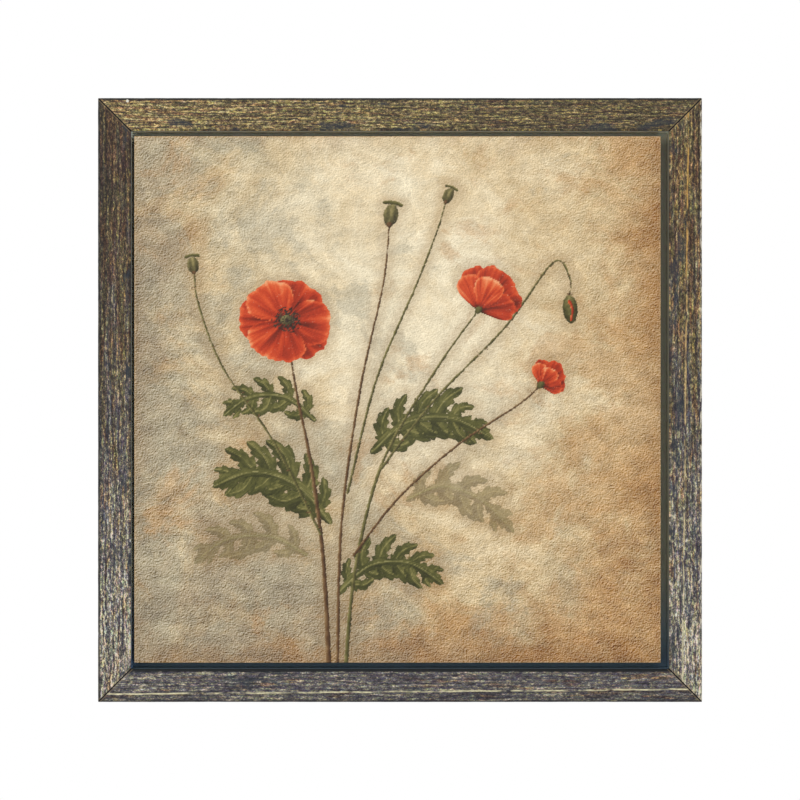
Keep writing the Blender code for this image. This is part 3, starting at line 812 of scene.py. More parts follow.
# %% [markdown]
# Then come the marks that are not grain. The waxed groove wavers and breaks off here and there, and on
# some rails the wood outside it is darker. The stain pools near the canvas in blue-black patches, and
# darkens the outer edges where a rag pressed hard. Along the inner lip, a band of darkened inside paint is
# painted shade, strongest on the bottom rail. The right rail's outer edge has been rubbed to pale nicks.

# %% The waxed groove
LINE_WAX = ((0.1, (212, 204, 166)), (0.75, (200, 156, 82)))


def groove_line(finish, grain, wood):
    """One long groove full of wax, and darker wood between it and the outer edge."""
    across = finish.part(grain, "Y")
    waver = finish.noise(finish.stretched(grain, (38, 1, 1), (7, 7, 7)), detail=4, roughness=0.6)
    across = finish.maths("ADD", finish.maths("MULTIPLY_ADD", waver, 2.6 * MM, across), -1.3 * MM)
    off_line = finish.maths("SUBTRACT", across, finish.measure("line_inset"))
    outside = finish.step(off_line, 0.3 * MM, -0.7 * MM)
    strip = finish.maths("MULTIPLY", outside, finish.measure("dark_strip"))
    wood = finish.times(wood, finish.maths("SUBTRACT", 1.0, strip))

    broken = finish.noise(finish.stretched(grain, (60, 90, 1), (3, 9, 3)), detail=4)
    broken = finish.step(broken, 0.36, 0.52)
    on_line = finish.step(finish.maths("ABSOLUTE", off_line), 1.0 * MM, 0.4 * MM)
    share = finish.maths("MULTIPLY", on_line, broken)
    share = finish.maths("MULTIPLY", share, finish.measure("line_strength"))
    line = finish.ramp(height_share(finish), *LINE_WAX)
    uneven = finish.noise(finish.stretched(grain, (260, 500, 1), (8, 3, 1)), detail=2)
    return finish.mix(share, wood, finish.times(line, finish.maths("MULTIPLY_ADD", uneven, 1.7, 0.1)))


# %% [markdown]
# Stain gathers where the rag could not reach, and wears off where a hand or a wall rubs. The pools are the
# high parts of one noise. The dark outer edges, the painted shade on the inner lip and the nicks keep to
# the rail's edges, and a second noise, drawn out along the grain, moves their limits in and out so that
# they look ragged.

# %% Pools and edges
STAIN = (36, 46, 56)
OUTER_STAIN = (28, 29, 26)
BARE_NICK = (212, 204, 184)


def stain_pools(finish, grain, wood):
    """Blue-black patches, mostly near the canvas."""
    across = finish.part(grain, "Y")
    near_canvas = finish.step(across, 12 * MM, 30 * MM)
    pools = finish.stretched(grain, (24, 70, 1), (5, 0, 3))
    pools = finish.noise(pools, detail=6, roughness=0.62, distortion=0.4)
    pooled = finish.step(finish.maths("MULTIPLY_ADD", near_canvas, 0.08, pools), 0.60, 0.67)
    return finish.mix(finish.maths("MULTIPLY", pooled, 0.66), wood, STAIN)


def mark_edges(finish, grain, wood):
    """Dark outer edges, painted shade on the inner lip, and bare nicks, all with a ragged limit."""
    across = finish.part(grain, "Y")
    ragged = finish.noise(finish.stretched(grain, (190, 500, 1), (3, 1, 4)), detail=3, roughness=0.65)
    off_outer = finish.maths("MULTIPLY_ADD", ragged, 2.4 * MM, finish.maths("ABSOLUTE", across))
    by_outer = finish.step(off_outer, 3.9 * MM, 2.7 * MM)
    dark = finish.maths("MULTIPLY", by_outer, finish.measure("dark_outer"))
    wood = finish.mix(dark, wood, OUTER_STAIN)
    nicks = finish.noise(finish.stretched(grain, (110, 380, 1), (5, 5, 1)), detail=4, roughness=0.7)
    by_edge = finish.step(off_outer, 3.2 * MM, 2.2 * MM)
    nicked = finish.maths("MULTIPLY", finish.step(nicks, 0.47, 0.58), by_edge)
    wood = finish.mix(finish.maths("MULTIPLY", nicked, finish.measure("nicks")), wood, BARE_NICK)
    # Painted shade along the inner lip: the inside paint, darkened, strongest on the bottom rail.
    off_inner = finish.maths("MULTIPLY_ADD", ragged, 2.4 * MM, across)
    lip_shade_mask = finish.step(off_inner, 29.7 * MM, 30.9 * MM)
    dark = finish.maths("MULTIPLY", lip_shade_mask, finish.measure("lip_shade"))
    return finish.mix(dark, wood, finish.times(reveal_paint_and_shading(finish, grain), 0.18))


# %% [markdown]
# The joints are dark lines with worn lips, and there is one bright chip near the upper left corner.

# %% Joints and the chip
CHIP_PLACE = (-262.5 * MM, front_y, frame_high.z - 3.0 * MM)
CHIP_REACH = 1.7 * MM
JOINT_DARK, JOINT_LIP, CHIP_PALE = (14, 12, 12), (176, 150, 104), (222, 218, 202)


def mark_joints(finish, wood):
    """A dark line at each mitre, with a paler lip beside it."""
    joint = finish.measure("joint")
    wood = finish.mix(finish.step(joint, 0.90, 0.45), wood, JOINT_DARK)
    lip = finish.maths("MULTIPLY", finish.step(joint, 0.7, 1.0), finish.step(joint, 1.9, 1.1))
    return finish.mix(finish.maths("MULTIPLY", lip, 0.28), wood, JOINT_LIP)


def chip(finish, wood):
    """One bright chip, with a ragged outline."""
    place = finish.place()
    off_chip = finish.node("VectorMath", place, CHIP_PLACE, operation="DISTANCE").outputs["Value"]
    off_chip = finish.maths("MULTIPLY_ADD", finish.noise(place, 900), 1.6 * MM, off_chip)
    return finish.mix(finish.step(off_chip, CHIP_REACH + 0.9 * MM, CHIP_REACH), wood, CHIP_PALE)


# %% [markdown]
# Behind, the wood was left bare. The three zones are then put together in one material for all the rails.

# %% Bare wood and the whole finish
RAW_WOOD = ((0.30, (116, 84, 54)), (0.43, (150, 116, 78)), (0.55, (170, 138, 98)), (0.70, (192, 162, 122)))
RAW_PORE, RAW_JOINT = (88, 64, 42), (66, 47, 32)


def raw_wood(finish, grain):
    """Broad growth bands, fine fibres, short dark pores, and a thin dark line at the mitre."""
    bands = finish.stretched(grain, (4, 75, 1), (3, 3, 3))
    bands = finish.noise(bands, detail=5, roughness=0.6, distortion=0.5)
    fibres = finish.noise(finish.stretched(grain, (30, 800, 1), (1, 2, 3)), detail=3, roughness=0.6)
    pores = finish.noise(finish.stretched(grain, (60, 1100, 1), (7, 2, 3)), detail=2)
    value = finish.maths("MULTIPLY_ADD", fibres, 0.50, finish.maths("MULTIPLY_ADD", bands, 0.72, -0.11))
    wood = finish.ramp(value, *RAW_WOOD)
    wood = finish.mix(finish.maths("MULTIPLY", finish.step(pores, 0.62, 0.72), 0.5), wood, RAW_PORE)
    on_mitre = finish.step(finish.measure("joint"), 0.40, 0.12)
    return finish.mix(finish.maths("MULTIPLY", on_mitre, 0.7), wood, RAW_JOINT)


def make_brushed_finish():
    """Puts the brushed wood, the bare wood and the inside paint together by their zones."""
    finish = Finish("brushed_frame_finish", specular=0.35)
    grain = finish.direction("grain")
    wax, lift = wax_on(finish)
    wood = groove_line(finish, grain, wood_colour(finish, grain, wax))
    wood = mark_edges(finish, grain, stain_pools(finish, grain, wood))
    wood = chip(finish, mark_joints(finish, wood))
    colour = finish.mix(finish.measure("brushed"), raw_wood(finish, grain), wood)
    colour = finish.mix(finish.measure("reveal"), colour, reveal_paint_and_shading(finish, grain))
    roughness = finish.maths("MULTIPLY_ADD", wax, -0.18, 0.72)
    return finish.dress(colour, roughness, lift, 0.12 * MM)


def cover_with(piece, material):
    """Gives a piece one material, in place of any that it has."""
    piece.data.materials.clear()
    piece.data.materials.append(material)


brushed_finish = make_brushed_finish()
for rail in rails.values():
    cover_with(rail, brushed_finish)
print("nodes in the brushed finish:", len(brushed_finish.node_tree.nodes))

# %% [markdown]
# ## The painted design
#
# The print on the canvas shows wild poppies in an old oil manner, on a plaster-like ground. No picture file
# is used: the design is worked out by arithmetic at every point of the canvas mesh. Each stem, leaf and
# petal is one shape. For every point, a shape says how far inside its outline the point is and which colour
# it has there. Shapes are laid down in order, as a painter works, from the stems to the blooms.

# %% A sheet to paint on
FAR_OUTSIDE = -30.0
ROOM = 12.0
LIGHT_FROM = math.radians(130)


def tones(value, *stops):
    """Colours from 0 to 255 for an array of values, from a row of (value, colour) stops."""
    places = [place for place, colour in stops]
    parts = zip(*[colour for place, colour in stops])
    return np.stack([np.interp(value, places, part) for part in parts], axis=-1)


class Sheet:
    """What is painted at each point: its colour, its depth inside the paint in mm, and its strength."""

    def __init__(self, points):
        self.points = points
        self.colour = np.full((len(points), 3), 120.0)
        self.cover = np.full(len(points), FAR_OUTSIDE)
        self.strength = np.ones(len(points))

    def near(self, middle, reach):
        """The numbers of the points within a square round a place."""
        return np.flatnonzero(np.abs(self.points - middle).max(axis=1) < reach)

    def near_path(self, path):
        """The numbers of the points in the box round a path, with room for its width."""
        low, high = path.min(axis=0) - ROOM, path.max(axis=0) + ROOM
        return np.flatnonzero(((self.points > low) & (self.points < high)).all(axis=1))

    def lay(self, chosen, cover, colour, strength=1.0):
        """Paints the chosen points where the new shape covers them, or comes nearer than the old ones."""
        takes = (cover > 0) | (cover > self.cover[chosen])
        taken = chosen[takes]
        self.colour[taken] = colour[takes]
        self.strength[taken] = strength
        self.cover[taken] = np.maximum(self.cover[taken], cover[takes])


# %% [markdown]
# A stem is a smooth curve through a few knots. The distance from a point to it, less half its width, is
# the depth inside the stroke, and the side on which the point lies says whether it is lit or in shade.

# %% Curves and strokes
def curve_through(*knots, steps=10):
    """A smooth path through the knots."""
    knots = np.array([knots[0], *knots, knots[-1]], float)
    path = []
    for a, b, c, d in zip(knots, knots[1:], knots[2:], knots[3:]):
        for t in np.linspace(0, 1, steps, endpoint=False):
            path.append(((2 * b) + (c - a) * t + (2 * a - 5 * b + 4 * c - d) * t**2
                         + (3 * b - a - 3 * c + d) * t**3) / 2)
    return np.array([*path, knots[-1]])


def measure_from(path, points):
    """Distance to the path, share of the way along it, and distance to its left, for each point."""
    nearest = np.full(len(points), 1e9)
    share = np.zeros(len(points))
    side = np.zeros(len(points))
    for number, (start, end) in enumerate(zip(path, path[1:])):
        leg = end - start
        along = np.clip((points - start) @ leg / (leg @ leg), 0, 1)
        apart = points - start - along[:, None] * leg
        distance = np.hypot(apart[:, 0], apart[:, 1])
        closer = distance < nearest
        nearest[closer] = distance[closer]
        share[closer] = (number + along[closer]) / (len(path) - 1)
        side[closer] = ((leg[0] * apart[:, 1] - leg[1] * apart[:, 0]) / np.hypot(*leg))[closer]
    return nearest, share, side


TWIG = ((0.0, (50, 34, 24)), (0.4, (88, 60, 38)), (0.75, (126, 96, 62)), (1.0, (170, 142, 100)))
GREEN_STEM = ((0.0, (46, 44, 26)), (0.4, (84, 80, 44)), (0.75, (122, 114, 66)), (1.0, (162, 152, 100)))


def paint_stroke(sheet, path, width, tip_width, palette, seed, strength=1.0):
    """A brush stroke along a path, narrowing to its tip, lit on its upper left side."""
    chosen = sheet.near_path(path)
    points = sheet.points[chosen]
    distance, share, side = measure_from(path, points)
    half = (width + (tip_width - width) * share) / 2
    half = half * (0.86 + 0.28 * smooth_noise(share * len(path) * 0.9, 0.5, seed))
    way = path[-1] - path[0]
    lit_side = np.sign(math.cos(LIGHT_FROM) * -way[1] + math.sin(LIGHT_FROM) * way[0])
    value = 0.45 + 0.42 * lit_side * side / np.maximum(half, 0.3)
    value += 0.34 * (smooth_noise(points[:, 0] / 3.1, points[:, 1] / 4.7, seed + 1) - 0.5)
    sheet.lay(chosen, half - distance, tones(np.clip(value, 0, 1), *palette), strength)


# %% [markdown]
# A poppy leaf is a midrib with pointed lobes on both sides. Each lobe is a short tapering stroke, with a
# few teeth. A pale vein runs down the middle of each.

# %% Leaves
PALE_VEIN = ((0.0, (92, 90, 50)), (0.5, (126, 122, 72)), (1.0, (168, 160, 108)))
LEAF = ((0.0, (44, 46, 26)), (0.35, (68, 70, 36)), (0.65, (96, 95, 50)), (1.0, (146, 138, 84)))
OLD_LEAF = ((0.0, (78, 66, 42)), (0.35, (104, 92, 58)), (0.65, (130, 118, 76)), (1.0, (166, 150, 104)))


def turned(direction, degrees):
    """A direction turned anticlockwise."""
    angle = math.radians(degrees)
    cosine, sine = math.cos(angle), math.sin(angle)
    right, up = direction
    return np.array([right * cosine - up * sine, right * sine + up * cosine])


def paint_blade(sheet, path, width, palette, seed, strength):
    """One lobe: widest a third of the way along, with a toothed edge and a pale vein."""
    chosen = sheet.near_path(path)
    points = sheet.points[chosen]
    distance, share, side = measure_from(path, points)
    belly = 1.62 * (share + 0.06) ** 0.42 * (1.02 - share) ** 0.80
    teeth = 0.80 + 0.62 * ((share * 3.6 + 0.3 * np.sign(side)) % 1.0)
    half = width / 2 * belly * teeth
    value = 0.50 + 0.16 * np.sign(side) * math.cos(math.atan2(*(path[-1] - path[0])) - LIGHT_FROM)
    streak = smooth_noise(share * 9 + side / 6, side / 1.1 - share * 7, seed)
    value = value + 0.42 * (streak - 0.5)
    value = value + 0.30 * (smooth_noise(points[:, 0] / 9, points[:, 1] / 9, 7) - 0.5)
    value = value + 0.38 * soft_step(np.abs(side), 0.9, 0.2) - 0.20 * soft_step(half - distance, 1.2, 0.0)
    sheet.lay(chosen, half - distance, tones(np.clip(value, 0, 1), *palette), strength)


def paint_leaf(sheet, knots, reach, seed, palette=LEAF, strength=1.0, pairs=6):
    """A leaf along a midrib: pairs of lobes that lean forward, and one at the tip."""
    rib = curve_through(*knots)
    dice = np.random.default_rng(seed)
    for pair in range(pairs):
        place = 0.16 + 0.70 * pair / (pairs - 1)
        index = int(place * (len(rib) - 2))
        ahead = rib[index + 1] - rib[index]
        ahead = ahead / np.hypot(*ahead)
        size = reach * math.sin(math.pi * (0.26 + 0.60 * pair / (pairs - 1))) ** 0.8
        for hand in (-1, 1):
            length = size * dice.uniform(0.82, 1.12)
            out = turned(ahead, hand * dice.uniform(48, 66))
            tip = turned(ahead, hand * dice.uniform(14, 34))
            start = rib[index]
            lobe = curve_through(start, start + out * length / 2, start + (out + tip) * length / 2)
            paint_blade(sheet, lobe, length * 0.40 + 2, palette, seed + 7 * pair + hand, strength)
    tip_start = int(0.72 * len(rib))
    paint_blade(sheet, rib[tip_start:], reach * 0.42, palette, seed + 90, strength)
    paint_blade(sheet, rib, reach * 0.26, palette, seed + 91, strength)
    paint_stroke(sheet, rib, 1.8, 0.7, PALE_VEIN, seed + 92, strength)


# %% [markdown]
# A petal is a fan round its base, described by direction and distance. Its rim is ruffled, fine creases run
# from the base to the rim, and it is deep red in the fold and orange where the light strikes it. A side
# view squashes the same fan.

# %% Petals
PETAL = ((0.0, (74, 18, 14)), (0.25, (128, 32, 18)), (0.5, (182, 52, 26)), (0.75, (214, 80, 40)))
PETAL += ((0.95, (232, 122, 74)), (1.1, (240, 164, 116)))


def paint_petal(sheet, base, towards, spread, reach, squash=1.0, tilt=0.0, tone=0.0, seed=0):
    """One petal that opens from its base towards an angle in degrees. Squash flattens it along tilt."""
    chosen = sheet.near(base, reach * 1.3)
    apart = sheet.points[chosen] - base
    turn = math.radians(tilt)
    right = apart[:, 0] * math.cos(turn) + apart[:, 1] * math.sin(turn)
    up = (apart[:, 1] * math.cos(turn) - apart[:, 0] * math.sin(turn)) / squash
    distance = np.hypot(right, up)
    angle = np.arctan2(up, right) - math.radians(towards - tilt)
    angle = (angle + np.pi) % (2 * np.pi) - np.pi
    fan = np.clip(np.abs(angle) / math.radians(spread), 0, 1)
    ruffle = 0.12 * (smooth_noise(angle * 4.5 + 40, 0.5, seed) - 0.5)
    ruffle = ruffle + 0.07 * (smooth_noise(angle * 13 + 90, 0.5, seed + 1) - 0.5)
    rim = reach * ((1 - fan**3.0) ** 0.42 + ruffle * (fan < 0.95))
    cover = (rim - distance) * min(1.0, squash + 0.2)
    share = np.clip(distance / np.maximum(rim, 1.0), 0, 1.2)
    creases = smooth_noise(angle * 16 + 50, share * 1.6, seed + 2) - 0.5
    fine = smooth_noise(angle * 42 + 50, share * 3.0, seed + 3) - 0.5
    folds = smooth_noise(angle * 5 + 50, share * 2.2, seed + 4) - 0.5
    lit = np.cos(np.arctan2(apart[:, 1], apart[:, 0]) - LIGHT_FROM)
    value = 0.26 + 0.40 * share + 0.34 * creases + 0.16 * fine + 0.40 * folds + 0.12 * lit + tone
    value = value + 0.20 * soft_step(share, 0.88, 0.99) - 0.22 * soft_step(fan, 0.72, 1.0)
    value = value - 0.34 * soft_step(share, 0.30, 0.08)
    sheet.lay(chosen, cover, tones(np.clip(value, 0, 1.1), *PETAL))


# %% [markdown]
# The middle of an open poppy is a ring of dark stamens round a ribbed green head, and buds and seed heads
# are ribbed ovals. Modelled as solids they would be lost at this size, so each is one shaded oval, palest
# towards the upper left. The stamens, and the bristles on the stems, are very short strokes.

# %% Hearts, buds and seed heads
STAMENS, HEAD_RAYS = 46, 9
DARK_HEART = ((0.0, (26, 20, 20)), (0.5, (52, 38, 34)), (1.0, (104, 84, 60)))
POD = ((0.0, (54, 50, 32)), (0.4, (96, 90, 56)), (0.75, (142, 130, 84)), (1.0, (190, 176, 124)))
HUSK = ((0.0, (46, 44, 24)), (0.4, (78, 76, 40)), (0.75, (112, 106, 62)), (1.0, (160, 148, 96)))


def paint_oval(sheet, middle, long_half, short_half, tilt, palette, seed, ribs=0):
    """A rounded form, lit from the upper left, with ribs along it if asked."""
    chosen = sheet.near(middle, long_half + 12)
    apart = sheet.points[chosen] - middle
    turn = math.radians(tilt)
    along = (apart[:, 0] * math.cos(turn) + apart[:, 1] * math.sin(turn)) / long_half
    across = (apart[:, 1] * math.cos(turn) - apart[:, 0] * math.sin(turn)) / short_half
    out = np.hypot(along, across)
    cover = (1 - out) * short_half
    lit = (apart @ np.array([math.cos(LIGHT_FROM), math.sin(LIGHT_FROM)])) / long_half
    value = 0.46 + 0.42 * lit - 0.20 * out**3
    value = value + 0.34 * (smooth_noise(apart[:, 0] / 1.6 + 30, apart[:, 1] / 1.6 + 30, seed) - 0.5)
    if ribs:
        value = value + 0.16 * np.cos(across * ribs * math.pi)
    sheet.lay(chosen, cover, tones(np.clip(value, 0, 1), *palette))


def paint_heart(sheet, middle, reach, squash, seed):
    """The dark middle of an open bloom: stamens in a ring round a ribbed green head."""
    dice = np.random.default_rng(seed)
    for stamen in range(STAMENS):
        turn = 2 * math.pi * stamen / STAMENS + dice.uniform(-0.06, 0.06)
        out = np.array([math.cos(turn), math.sin(turn) * squash])
        far = dice.uniform(0.72, 1.08) * reach
        path = np.array([middle + out * reach * 0.3, middle + out * far])
        paint_stroke(sheet, path, 0.7, 0.5, DARK_HEART, seed + stamen)
        paint_oval(sheet, middle + out * far, 1.0, 0.8, dice.uniform(0, 180), DARK_HEART, seed + stamen)
    paint_oval(sheet, middle, reach * 0.42, reach * 0.42 * max(squash, 0.7), 0, POD, seed)
    for ray in range(HEAD_RAYS):
        turn = 2 * math.pi * ray / HEAD_RAYS
        out = np.array([math.cos(turn), math.sin(turn) * max(squash, 0.7)])
        paint_stroke(sheet, np.array([middle, middle + out * reach * 0.36]), 0.8, 0.7, DARK_HEART, ray)


def paint_hairs(sheet, path, reach, count, seed):
    """Fine bristles along a stem or round a bud."""
    dice = np.random.default_rng(seed)
    for place in dice.integers(1, len(path) - 1, count):
        way = path[place] - path[place - 1]
        out = turned(way / np.hypot(*way), dice.choice((-1, 1)) * dice.uniform(55, 85))
        tip = path[place] + out * dice.uniform(0.6, 1.0) * reach
        paint_stroke(sheet, np.array([path[place], tip]), 0.7, 0.4, TWIG, seed + int(place))


print("petal colours:", len(PETAL), "leaf colours:", len(LEAF))

# %% [markdown]
# ## The composition
#
# The stems spring from the lower edge left of the middle and fan out. A large open bloom leans left, a
# second one is seen from the side on the right, and a bud, a half-open bloom and seed heads fill the gaps.
# Places are in millimetres from the middle of the canvas. Far leaves are fainter, as if painted out.

# %% Stems and leaves
def paint_greenery(sheet):
    """Everything behind the blooms. Returns the finer stems, for their bristles."""
    old = dict(palette=OLD_LEAF, pairs=5)
    paint_leaf(sheet, ((10, -96), (44, -84), (82, -98), (112, -128)), 36, 31, strength=0.62, **old)
    paint_leaf(sheet, ((-88, -150), (-124, -132), (-166, -136), (-196, -158)), 32, 33, strength=0.60, **old)
    paint_leaf(sheet, ((-66, -118), (-96, -84), (-138, -70), (-178, -84)), 44, 35)
    paint_leaf(sheet, ((-24, -50), (10, -22), (52, -18), (92, -38)), 42, 37)
    paint_leaf(sheet, ((-56, -186), (-26, -160), (12, -158), (44, -178)), 34, 39)
    paint_leaf(sheet, ((-80, -20), (-108, 2), (-142, 2), (-168, -16)), 27, 41, pairs=5)
    stems = {
        "side bloom": curve_through((-50, -258), (-40, -160), (-14, -60), (38, 30), (78, 86)),
        "half open": curve_through((-42, -150), (0, -96), (58, -44), (118, -4), (138, 14)),
        "bud": curve_through((-18, -70), (36, 0), (104, 70), (150, 132), (166, 118), (166, 100)),
        "tall pod": curve_through((-58, -258), (-54, -120), (-36, 10), (-14, 110), (-8, 168)),
        "small pod": curve_through((-48, -90), (-20, 20), (18, 110), (40, 168), (46, 190)),
        "open bloom": curve_through((-66, -258), (-72, -150), (-84, -60), (-98, 10), (-106, 62)),
        "left pod": curve_through((-74, -130), (-120, -40), (-168, 30), (-192, 92), (-196, 122)),
    }
    widths = {"open bloom": 5.2, "side bloom": 4.4, "tall pod": 3.6}
    for number, (name, path) in enumerate(stems.items()):
        palette = TWIG if number % 2 else GREEN_STEM
        paint_stroke(sheet, path, widths.get(name, 2.8), 1.7, palette, 50 + number)
    for name in ("bud", "half open", "left pod"):
        paint_hairs(sheet, stems[name], 4.5, 34, 60)
    return stems


# %% [markdown]
# A bloom is laid petal by petal. The petals behind go first and are toned darker, so the front ones stand
# out from them without any real depth. The largest bloom is painted last, over everything else.

# %% Blooms, bud and seed heads
def paint_open_bloom(sheet, middle, reach):
    """A bloom seen nearly from the front: three petals behind, and three in front."""
    for towards, spread, size in ((68, 62, 1.0), (178, 60, 0.96), (-50, 62, 0.98)):
        paint_petal(sheet, middle, towards, spread, reach * size, 0.86, -12, tone=-0.14, seed=towards + 300)
    for towards, spread, size in ((124, 58, 0.98), (-2, 60, 0.95), (-112, 66, 1.02)):
        paint_petal(sheet, middle, towards, spread, reach * size, 0.86, -12, tone=0.04, seed=towards + 300)
    paint_heart(sheet, middle + np.array([1.0, 0.5]), reach * 0.29, 0.84, 71)


def paint_side_bloom(sheet, base, reach, lean):
    """A cup seen from the side: dark petals behind, then the pale front ones."""
    behind = ((lean + 34, 40, 1.0, -0.24), (lean - 36, 40, 0.98, -0.20), (lean, 44, 1.08, -0.12))
    front = ((lean + 52, 34, 0.86, 0.02), (lean - 50, 36, 0.84, -0.02), (lean + 6, 42, 0.80, 0.12))
    for number, (towards, spread, size, tone) in enumerate(behind + front):
        paint_petal(sheet, base, towards, spread, reach * size, tone=tone, seed=int(base[0]) + 17 * number)
    paint_oval(sheet, base, 4.2, 3.2, lean, HUSK, 81)


def paint_bud(sheet, middle, long_half, tilt):
    """A hanging bud, with a slit of red where the husk has split."""
    paint_oval(sheet, middle, long_half, long_half * 0.52, tilt, HUSK, 91, ribs=1)
    along = np.array([math.cos(math.radians(tilt)), math.sin(math.radians(tilt))])
    aside = np.array([-along[1], along[0]]) * long_half * 0.16
    low, high = middle - along * long_half * 0.55, middle + along * long_half * 0.75
    paint_stroke(sheet, curve_through(low, middle + aside, high), 3.0, 1.6, PETAL, 92)


def paint_seed_head(sheet, top_of_stem, size, tilt):
    """A ribbed pod with its flat crown."""
    up = np.array([math.cos(math.radians(tilt)), math.sin(math.radians(tilt))])
    paint_oval(sheet, top_of_stem + up * size * 0.9, size, size * 0.66, tilt, POD, 95, ribs=2)
    across = np.array([-up[1], up[0]])
    crown = top_of_stem + up * size * 1.9
    ends = (crown - across * size * 0.72, crown + up * size * 0.14, crown + across * size * 0.72)
    paint_stroke(sheet, curve_through(*ends), size * 0.34, size * 0.34, HUSK, 96)
    paint_oval(sheet, top_of_stem + up * size * 0.05, size * 0.26, size * 0.22, tilt, TWIG, 97)


def paint_design(points):
    """The whole design at the given points, in millimetres from the middle of the canvas."""
    sheet = Sheet(points)
    stems = paint_greenery(sheet)
    paint_seed_head(sheet, stems["tall pod"][-1], 11, 80)
    paint_seed_head(sheet, stems["small pod"][-1], 8, 66)
    paint_seed_head(sheet, stems["left pod"][-1], 8.5, 98)
    paint_bud(sheet, stems["bud"][-1] + np.array([0.5, -13]), 14, -84)
    paint_side_bloom(sheet, stems["half open"][-1], 25, 44)
    paint_side_bloom(sheet, stems["side bloom"][-1], 42, 58)
    paint_open_bloom(sheet, stems["open bloom"][-1] + np.array([-2, 14]), 47)
    return sheet

# %% [markdown]
# ## The stretched canvas
#
# A stretched canvas is one piece of cloth: its face, four sides folded over the bars, and a hem stapled
# behind. The model's solid is a plain tray, so a sheet with a real thickness replaces it. The face has to
# carry the design, so it needs close points, but only there: a net of 3.4 mm cells covers it, and the cells
# near the design are split nine ways. A plain cell beside a split one takes its points into its own
# outline, so the surface has no cracks.

# %% Split the face where the design is
CELLS, SPLIT = 150, 3
FOLD_RADIUS = 1.4 * MM
NEAR_DESIGN = -1.6
face_half = canvas_half - FOLD_RADIUS
fine_count = CELLS * SPLIT + 1


def lattice(count):
    """A square net of points over the face, in millimetres from its middle."""
    marks = np.linspace(-face_half, face_half, count) / MM
    right, up = np.meshgrid(marks, marks, indexing="ij")
    return np.stack([right.ravel(), up.ravel()], axis=1)


def cells_near_design():
    """True for each cell that the design touches."""
    cover = paint_design(lattice(CELLS * 2 + 1)).cover.reshape(CELLS * 2 + 1, CELLS * 2 + 1)
    close = cover > NEAR_DESIGN
    found = np.zeros((CELLS, CELLS), bool)
    for right in range(3):
        for up in range(3):
            found |= close[right : right + 2 * CELLS - 1 : 2, up : up + 2 * CELLS - 1 : 2]
    return found


split_cells = cells_near_design()
print("split cells:", int(split_cells.sum()), "of", CELLS * CELLS)

# %% [markdown]
# The face is taken from one fine lattice. Every third point of it each way is used, and all the points in
# a split cell. Each point that is used gets a number, and the polygons are lists of those numbers.

# %% Net of the face
def block(column, row):
    """The points of the fine net that belong to one cell."""
    return np.s_[column * SPLIT : (column + 1) * SPLIT + 1, row * SPLIT : (row + 1) * SPLIT + 1]


def used_points():
    """True for each point of the fine net that the face needs."""
    needed = np.zeros((fine_count, fine_count), bool)
    needed[::SPLIT, ::SPLIT] = True
    for column, row in np.argwhere(split_cells):
        needed[block(column, row)] = True
    return needed


used = used_points()
point_number = np.where(used, np.cumsum(used.ravel()).reshape(used.shape) - 1, -1)


def cell_outline(column, row):
    """The points round a plain cell, with those that its split neighbours have added."""
    left, low = column * SPLIT, row * SPLIT
    steps = range(SPLIT)
    around = [(left + k, low) for k in steps] + [(left + SPLIT, low + k) for k in steps]
    around += [(left + SPLIT - k, low + SPLIT) for k in steps] + [(left, low + SPLIT - k) for k in steps]
    return [int(point_number[place]) for place in around if used[place]]


def face_polygons():
    """The plain cells as they are, and nine small squares for each split one."""
    polygons = [cell_outline(column, row) for column, row in np.argwhere(~split_cells)]
    for column, row in np.argwhere(split_cells):
        cell = point_number[block(column, row)]
        corners = [cell[:-1, :-1], cell[1:, :-1], cell[1:, 1:], cell[:-1, 1:]]
        polygons += np.stack(corners, axis=-1).reshape(-1, 4).tolist()
    return polygons


def face_border():
    """The points round the face, anticlockwise from the lower left: (number, is it a cell's corner)."""
    last = fine_count - 1
    steps = range(last)
    around = [(k, 0) for k in steps] + [(last, k) for k in steps]
    around += [(last - k, last) for k in steps] + [(0, last - k) for k in steps]
    kept = [place for place in around if used[place]]
    return [(int(point_number[place]), all(k % SPLIT == 0 for k in place)) for place in kept]


face_faces = face_polygons()
border = face_border()
print("points on the face:", int(used.sum()), "polygons:", len(face_faces))

# %% [markdown]
# The ground of the print is rough like old plaster, so the face itself is a little uneven: soft lumps, and
# shallow creases that run up to the right. All of it is pressed in from the plane of the solid's face.

# %% Unevenness of the face
def plaster_depth(points):
    """How far the face is pressed in, in metres, at places in millimetres."""
    right, up = points[:, 0] + 400, points[:, 1] + 400
    lumps = smooth_noise(right / 9, up / 7, 201)
    small = smooth_noise(right / 4.2, up / 3.6, 202)
    slanted = (right + up) * 0.7071, (up - right) * 0.7071
    ridges = 1 - np.abs(2 * smooth_noise(slanted[0] / 46, slanted[1] / 8, 203) - 1)
    creases = soft_step(ridges, 0.90, 0.99) * smooth_noise(right / 60, up / 60, 204)
    return (0.10 * lumps + 0.10 * small + 0.16 * creases) * MM


# %% [markdown]
# Rings of points carry the cloth round the fold, down the side, and onto the back as the hem. The hem's
# edge is cut by hand, so it wanders, and the corners are folded at 45 degrees, so the cloth is double
# there. The inside of the cloth is a second run of rings, a cloth's thickness in. It has a third of the
# points, because only the raw back of the cloth is seen there.

# %% Rings round the folds
HEM = 30 * MM
CLOTH_THICK = 0.55 * MM
INSIDE_EVERY = 3
cloth_front, cloth_back = canvas_low.y, canvas_high.y


def ring_places(every=1):
    """Points round a square of half side 1, one for each cell of the face or for a few."""
    marks = np.linspace(-1, 1, CELLS // every + 1)[:-1]
    ones = np.ones_like(marks)
    sides = [(marks, -ones), (ones, marks), (-marks, ones), (-ones, -marks)]
    return np.concatenate([np.stack(side, axis=1) for side in sides])


